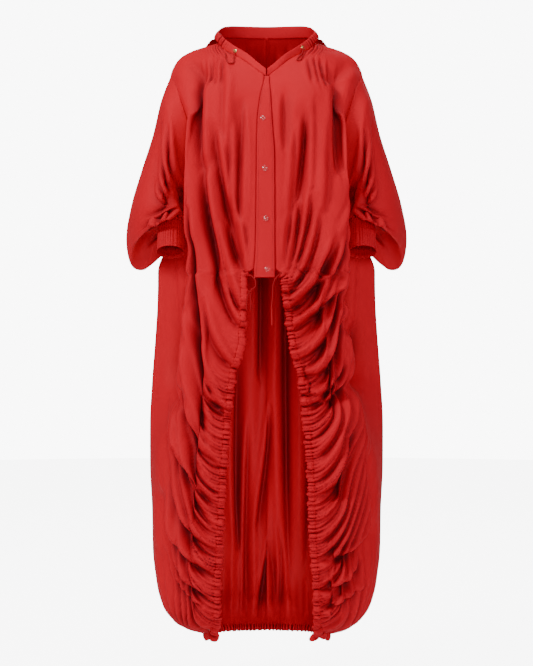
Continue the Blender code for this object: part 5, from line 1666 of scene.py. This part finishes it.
@dataclass
class HoodCasing:
    """The folded casing of the hood's face edge, standing as a collar."""

    fronts: dict[Side, FrontPanel]
    along: int = 760
    sides: int = 18
    thickness: float = 0.0026
    scrunch_place: float = 4.9    # in sections from the middle of the back
    scrunch_spread: float = 0.95
    end_taper: float = 0.010
    flat: tuple[float, float] = (0.048, 0.84)

    def __post_init__(self) -> None:
        """Lays the casing's edges from the left front round to the right."""
        halves = []
        for side in Side:
            mirror = np.array((side.value, 1.0, 1.0))
            panel = self.fronts[side]
            seam = np.array([panel.grid[panel.edge_row(height), 0] for height in NECK_HEIGHTS])
            seam[:, 0] = np.abs(seam[:, 0]) * side.value
            free = np.array(NECK_STRIP_FREE) * mirror
            sewn = seam + unit(free - seam) * 0.0006
            sewn[0, 0] = 0.0012 * side.value
            collar = np.array([(section.sewn, section.free) for section in COLLAR_SECTIONS])
            halves.append(np.concatenate((np.stack((sewn, free), axis=1), collar * mirror)))
        left, right = halves
        self.line = np.concatenate((left, right[-2::-1]))

    def build(self, finishes: Finishes) -> None:
        """Makes the casing.

        Args:
            finishes: the garment's finishes.
        """
        knots = np.arange(len(self.line))
        places = np.linspace(0, len(self.line) - 1, self.along)
        edges = smooth(knots, self.line, places)
        sewn, free = edges[:, 0], edges[:, 1]
        middle, wide = (sewn + free) / 2.0, (free - sewn) / 2.0
        along = evened(unit(np.gradient(middle, axis=0)), 8)
        outward = unit(np.cross(unit(wide), along))
        distance = np.abs(places - (len(self.line) - 1) / 2.0)
        scrunch = np.exp(-((distance - self.scrunch_place) / self.scrunch_spread) ** 2)[:, None]
        reach = length_along(middle)
        ridge, _ = gathers(reach, 0.0092, 1.7)
        fine, _ = gathers(reach, 0.0037, 0.3)
        push = (0.0095 * (ridge - 0.55) + 0.0026 * (fine - 0.5))[:, None] * scrunch
        swell = 1.0 + scrunch * (0.3 + 2.2 * ridge[:, None])
        middle = middle + outward * push
        wide = wide * (1.0 - scrunch * 0.24 * (1.0 - ridge[:, None]))
        ends = faded(np.minimum(reach, reach[-1] - reach), self.end_taper)[:, None]
        thick = outward * self.thickness / 2.0 * swell * (0.35 + 0.65 * ends)
        rings = tube_rows(middle, wide, thick, self.sides)
        piece = shell("hood_face_casing", rings[:, ::-1], finishes.cloth, ring=True)
        finish_piece(piece, "cloth", "hood_casing")

    def sewing(self, finishes: Finishes) -> None:
        """Stitches the casing down inside, a little above its seam."""
        places = np.linspace(0.6, len(self.line) - 1.6, 320)
        edges = smooth(np.arange(len(self.line)), self.line, places)
        sewn, free = edges[:, 0], edges[:, 1]
        line = sewn + (free - sewn) * 0.10
        along = evened(unit(np.gradient(line, axis=0)), 8)
        inward = -unit(np.cross(unit(free - sewn), along))
        for word, sign in (("inner", 1.0), ("outer", -1.0)):
            row = Lockstitch().row("hood_stitches_" + word, line + inward * 0.0007 * sign,
                                   inward * sign, finishes.thread)
            finish_piece(row, "cloth")


@dataclass
class ButtonBand:
    """The band that carries the snaps, and the band under it."""

    fronts: dict[Side, FrontPanel]
    rows: int = 230
    columns: int = 19
    columns_under: int = 11
    wall: float = 0.0014
    pucker: float = 0.0004        # height of the puckers that its sewing draws
    sewn: tuple[tuple[str, int], ...] = (("left", 2), ("right", 16))     # columns with a seam
    flat: tuple[float, float] = (0.048, 0.47)

    def edges(self, height: float) -> Array:
        """Left and right edge of the band at a height."""
        found = []
        for side in Side:
            grid = self.fronts[side].grid[self.fronts[side].edge_row(BAND_FOOT):, 0]
            at = [np.interp(max(height, BAND_FOOT), grid[:, 2], grid[:, axis]) for axis in (0, 1)]
            found.append((*at, height))
        return np.array(found)

    def surface(self, lift: float, inset: float, columns: int, puckers: float) -> Array:
        """Points of a band.

        Args:
            lift: how far its edges lie in front of the fronts.
            inset: how far its edges stay inside theirs.
            columns: points across.
            puckers: height of the puckers along its edges.

        Returns:
            Points by height and place across.
        """
        across = np.linspace(0.0, 1.0, columns)
        rows = []
        for height in np.linspace(BAND_BOTTOM, BAND_TOP, self.rows + 1):
            left, right = self.edges(height)
            width = right[0] - left[0]
            gap = min(inset, width / 4.0)
            x = left[0] + gap + (width - 2.0 * gap) * across
            deep = left[1] + (right[1] - left[1]) * across
            crown = BAND_CROWN * lift * np.sin(math.pi * across)
            edge_near = np.exp(-(np.minimum(across, 1.0 - across) * width / 0.004) ** 2)
            wave = puckers * edge_near * math.sin(height / 0.0115 + 1.6 * math.sin(height * 31.0))
            hang = 0.0010 * math.sin(height * 23.0 + 0.7) * np.sin(math.pi * across)
            rows.append(np.stack((x, deep - lift - crown - wave - hang * (lift > 0.0),
                                  np.full(columns, height)), axis=1))
        return np.array(rows)

    def build(self, finishes: Finishes) -> None:
        """Makes both bands and the sewing of the upper one."""
        over = self.surface(BAND_LIFT, 0.0, self.columns, self.pucker)
        piece = shell("button_band", over, finishes.cloth, wall=self.wall)
        finish_piece(piece, "cloth", "placket_over")
        under = self.surface(0.0, self.wall, self.columns_under, 0.0)
        piece = shell("button_band_under", under, finishes.cloth, wall=self.wall)
        finish_piece(piece, "cloth", "placket_under")
        forwards = np.array((0.0, -1.0, 0.0))
        for word, place in self.sewn:
            line = over[3:-14, place] + forwards * 0.0008
            row = Lockstitch().row("band_stitches_" + word, line,
                                   np.tile(forwards, (len(line), 1)), finishes.thread)
            finish_piece(row, "cloth")


@dataclass
class Snap:
    """A domed snap cap on the band: a pressed disc with a rolled rim."""

    band: ButtonBand
    number: int
    blank: MetalBlank = MetalBlank(40, SNAP_RADIUS, 0.0016,
                                   ((0.0011, 0.0004), (0.0007, -0.0005),
                                    (0.0016, 0.0012), (0.0014, 0.0006)), 0.0004, 2)

    def build(self, finishes: Finishes) -> None:
        """Makes the cap.

        Args:
            finishes: the garment's finishes.
        """
        height = SNAP_HEIGHTS[self.number - 1]
        low, high = self.band.edges(height - 0.01), self.band.edges(height + 0.01)
        middle = (low + high).mean(axis=0) / 2.0
        middle[0] += (self.number - (len(SNAP_HEIGHTS) + 1) / 2.0) * SNAP_DRIFT
        facing = unit(np.cross(low[1] - low[0], (high - low).mean(axis=0)))
        place = middle + facing * (BAND_LIFT * (1.0 + BAND_CROWN) + self.blank.depth / 2.0)
        piece = self.blank.pressed("snap_%d" % self.number, place, facing, finishes.snap)
        finish_piece(piece, "snap_paint", "snap_cap_%d" % self.number)


@dataclass
class Eyelet:
    """A brass eyelet in the neckline strip, where the hood's drawcord comes out."""

    casing: HoodCasing
    side: Side
    blank: MetalBlank = MetalBlank(36, 0.0052, 0.0012,
                                   ((0.0009, 0.0005), (0.0015, -0.0001), (0.0004, -0.0012)),
                                   0.00035, 3)
    clearance: float = 0.0007     # between its flange and the cord

    def place(self) -> tuple[Array, Array]:
        """Where the eyelet sits and which way it faces.

        Returns:
            A point of the strip's middle and its facing direction.
        """
        height = EYELET_HEIGHTS[self.side]
        line = self.casing.line if self.side is Side.LEFT else self.casing.line[::-1]
        edges = line[:len(NECK_HEIGHTS) + 1]
        middle = edges.mean(axis=1)
        point = points_at(height, middle[:, 2], middle)
        near = int(np.clip(np.searchsorted(middle[:, 2], height), 1, len(NECK_HEIGHTS)))
        facing = unit(np.cross(middle[near] - middle[near - 1], edges[near, 1] - edges[near, 0]))
        return point, facing * -np.sign(facing[1])

    def exit(self) -> Array:
        """The point where the drawcord comes out."""
        point, facing = self.place()
        return point + facing * (EYELET_LIFT + self.blank.depth + CORD_RADIUS + self.clearance)

    def build(self, finishes: Finishes) -> None:
        """Makes the eyelet: a rolled flange round a short barrel.

        Args:
            finishes: the garment's finishes.
        """
        point, facing = self.place()
        place = point + facing * (EYELET_LIFT + 0.0002)
        piece = self.blank.pressed("brass_eyelet_" + self.side.word, place, facing, finishes.brass)
        finish_piece(piece, "brass", "eyelet_" + self.side.word)


@dataclass
class Drawcord:
    """A thin braided drawcord along a route."""

    name: str
    route: Array
    far_end: str
    points: int = 34

    def build(self, finishes: Finishes, with_pieces: Sequence[Piece] = ()) -> None:
        """Makes the cord.

        Args:
            finishes: the garment's finishes.
            with_pieces: pieces on it, such as its knot; not used.
        """
        reach = length_along(self.route)
        line = smooth(reach, self.route, np.linspace(0.0, reach[-1], self.points))
        curve = bpy.data.curves.new("drawcord_" + self.name, "CURVE")
        curve.dimensions = "3D"
        curve.bevel_depth = CORD_RADIUS
        curve.bevel_resolution = 3
        curve.use_fill_caps = True
        spline = curve.splines.new("POLY")
        spline.points.add(self.points - 1)
        for place, point in zip(spline.points, lifted(line)):
            place.co = (*point, 1.0)
        piece = linked("drawcord_" + self.name, curve, finishes.cord)
        finish_piece(piece, "cord", "cord_" + self.name)


@dataclass
class Knot:
    """An overhand knot of the drawcord."""

    side: Side
    size: float = 0.00088         # a third of its half width
    strand: float = 0.00125       # radius of the cord drawn tight

    def build(self, finishes: Finishes) -> Piece:
        """Makes the knot as a strand along a trefoil.

        Args:
            finishes: the garment's finishes.

        Returns:
            The piece.
        """
        t = np.linspace(0.0, 2.0 * math.pi, 72, endpoint=False)
        line = np.stack((np.sin(t) + 2.0 * np.sin(2.0 * t), np.cos(t) - 2.0 * np.cos(2.0 * t),
                         -1.3 * np.sin(3.0 * t)), axis=1) * self.size
        line = line[:, (0, 2, 1)] + np.array(KNOTS[self.side])
        along = unit(np.roll(line, -1, axis=0) - np.roll(line, 1, axis=0))
        side = unit(np.cross(along, np.array((0.0, 1.0, 0.0)) + 1e-6))
        rings = tube_rows(line, side * self.strand, unit(np.cross(along, side)) * self.strand, 10)
        rings = np.concatenate((rings, rings[:1]))
        piece = shell("drawcord_knot_" + self.side.word, rings, finishes.cord, ring=True, wall=0.0)
        return finish_piece(piece, "cord", "knot_" + self.side.word)


class Lamp(NamedTuple):
    """A soft lamp: its place, the height it aims at, its size, power and spread in degrees."""

    name: str
    place: tuple[float, float, float]
    aim: float
    wide: float
    tall: float
    power: float
    spread: float = 180.0


LAMPS = (
    Lamp("key", (-2.5, -1.9, 1.7), -0.40, 0.8, 0.8, 104.0),
    Lamp("front", (0.2, -4.4, -0.25), -0.40, 0.7, 0.7, 58.0),
    Lamp("fill", (2.5, -1.9, 0.9), -0.30, 1.4, 1.4, 30.0),
    Lamp("top", (0.0, -0.3, 2.4), -0.45, 1.2, 1.2, 30.0),
    Lamp("back", (0.6, 2.8, 1.2), -0.45, 2.0, 2.0, 36.0),
    Lamp("slit", (0.0, -0.20, -0.95), -0.95, 0.08, 0.75, 0.6, 150.0),
)


@dataclass
class Studio:
    """A pale floor, soft lights and a camera at the picture's angle."""

    distance: float = 3.8
    aim_height: float = 0.709
    frame_height: int = 666
    pixel: float = 0.0023165      # metres of a pixel in the garment's middle plane
    ambient: float = 0.20         # the world's light on the cloth
    backdrop: float = 9.0         # and to the camera
    floor_drop: float = 0.11      # of the floor under the hem
    floor_glow: float = 0.8       # of the floor to the camera, as a share of the backdrop's

    def camera(self) -> None:
        """Sets the camera: level, straight from the front."""
        lens = bpy.data.cameras.new("camera")
        lens.sensor_fit = "VERTICAL"
        lens.sensor_height = 24.0
        lens.lens = lens.sensor_height * self.distance / (self.frame_height * self.pixel)
        camera = bpy.data.objects.new("camera", lens)
        camera.location = (0.0, -self.distance, self.aim_height - SHOULDER_HEIGHT)
        camera.rotation_euler = (math.radians(90.0), 0.0, 0.0)
        bpy.context.scene.collection.objects.link(camera)
        bpy.context.scene.camera = camera

    def lights(self) -> None:
        """Sets soft area lights and a pale world."""
        for lamp in LAMPS:
            light = bpy.data.lights.new(lamp.name, "AREA")
            light.shape = "ELLIPSE"
            light.size, light.size_y = lamp.wide, lamp.tall
            light.energy = lamp.power
            light.spread = math.radians(lamp.spread)
            stand = bpy.data.objects.new(lamp.name, light)
            stand.location = lamp.place
            way = Vector((0.0, 0.0, lamp.aim)) - Vector(lamp.place)
            stand.rotation_euler = way.to_track_quat("-Z", "Y").to_euler()
            stand.visible_camera = False
            bpy.context.scene.collection.objects.link(stand)
        world = bpy.data.worlds.new("studio")
        world.use_nodes = True
        ground = world.node_tree.nodes["Background"]
        ground.inputs["Color"].default_value = linear("#FFFFFF")
        rays = add_node(world, "ShaderNodeLightPath")
        level = add_node(world, "ShaderNodeMapRange",
                         {"To Min": self.ambient, "To Max": self.backdrop},
                         {"Value": rays.outputs["Is Camera Ray"]})
        world.node_tree.links.new(level.outputs["Result"], ground.inputs["Strength"])
        bpy.context.scene.world = world

    def floor(self) -> None:
        """Lays a pale floor under the garment."""
        deselect()
        bpy.ops.mesh.primitive_circle_add(vertices=96, radius=7.0, fill_type="NGON")
        floor = bpy.context.object
        floor.name = "studio_floor"
        settled(floor, Matrix.Translation((0.0, 0.0, -SHOULDER_HEIGHT - self.floor_drop)))
        made, shader = new_material("studio_paper", {
            "Base Color": linear("#F6F6F6"), "Roughness": 0.9,
            "Emission Color": linear("#FFFFFF")})
        rays = add_node(made, "ShaderNodeLightPath")
        glow = add_node(made, "ShaderNodeMapRange",
                        {"To Min": 0.0, "To Max": self.backdrop * self.floor_glow},
                        {"Value": rays.outputs["Is Camera Ray"]})
        made.node_tree.links.new(glow.outputs["Result"], shader.inputs["Emission Strength"])
        floor.data.materials.append(made)

    def build(self) -> None:
        """Sets the whole studio."""
        self.camera()
        self.lights()
        self.floor()


def hood_loop(panel: FrontPanel, start: Array) -> Array:
    """Route of the hood's drawcord in front of a front.

    Args:
        panel: the front that it hangs on.
        start: where it comes out of the eyelet.

    Returns:
        Points of the route.
    """
    base = front_surface(panel.side, np.linspace(0.0, 0.6, 40), panel.heights)
    route = [start]
    for across, height in HOOD_LOOPS[panel.side]:
        row = panel.edge_row(height)
        deep = np.interp(across, np.abs(base[row, :, 0]), base[row, :, 1])
        route.append(np.array((across * panel.side.value, deep - HOOD_CORD_OFF, height)))
    return np.array(route)


def main() -> None:
    """Builds the studio and every piece of the garment, in order."""
    logging.basicConfig(level=logging.INFO, format="%(name)s %(message)s")
    Studio().build()
    finishes = Finishes.made()
    fronts = {side: FrontPanel(side) for side in Side}
    back = BackPanel()
    casing = HoodCasing(fronts)
    eyelets = {side: Eyelet(casing, side) for side in Side}
    knots = {side: Knot(side).build(finishes) for side in Side}
    for side in Side:
        Drawcord("hood_" + side.word, hood_loop(fronts[side], eyelets[side].exit()),
                 "object").build(finishes)
    for name, far_end, carried in (("left_loop", "knot", [knots[Side.LEFT]]),
                                   ("left_outer", "bare", []), ("left_inner", "bare", []),
                                   ("right", "bare", [knots[Side.RIGHT]])):
        Drawcord("waist_" + name, np.array(WAIST_CORDS[name]), far_end).build(finishes, carried)
    for side in Side:
        fronts[side].build(finishes)
        FrontCasing(fronts[side]).build(finishes)
        Sleeve(fronts[side]).build(finishes)
        Cuff(side).build(finishes)
        Hood(side).build(finishes)
        eyelets[side].build(finishes)
    back.build(finishes)
    HemCasing(fronts, back).build(finishes)
    casing.build(finishes)
    casing.sewing(finishes)
    band = ButtonBand(fronts)
    band.build(finishes)
    for number in range(1, len(SNAP_HEIGHTS) + 1):
        Snap(band, number).build(finishes)
    bpy.context.view_layer.update()


if __name__ == "__main__":
    main()
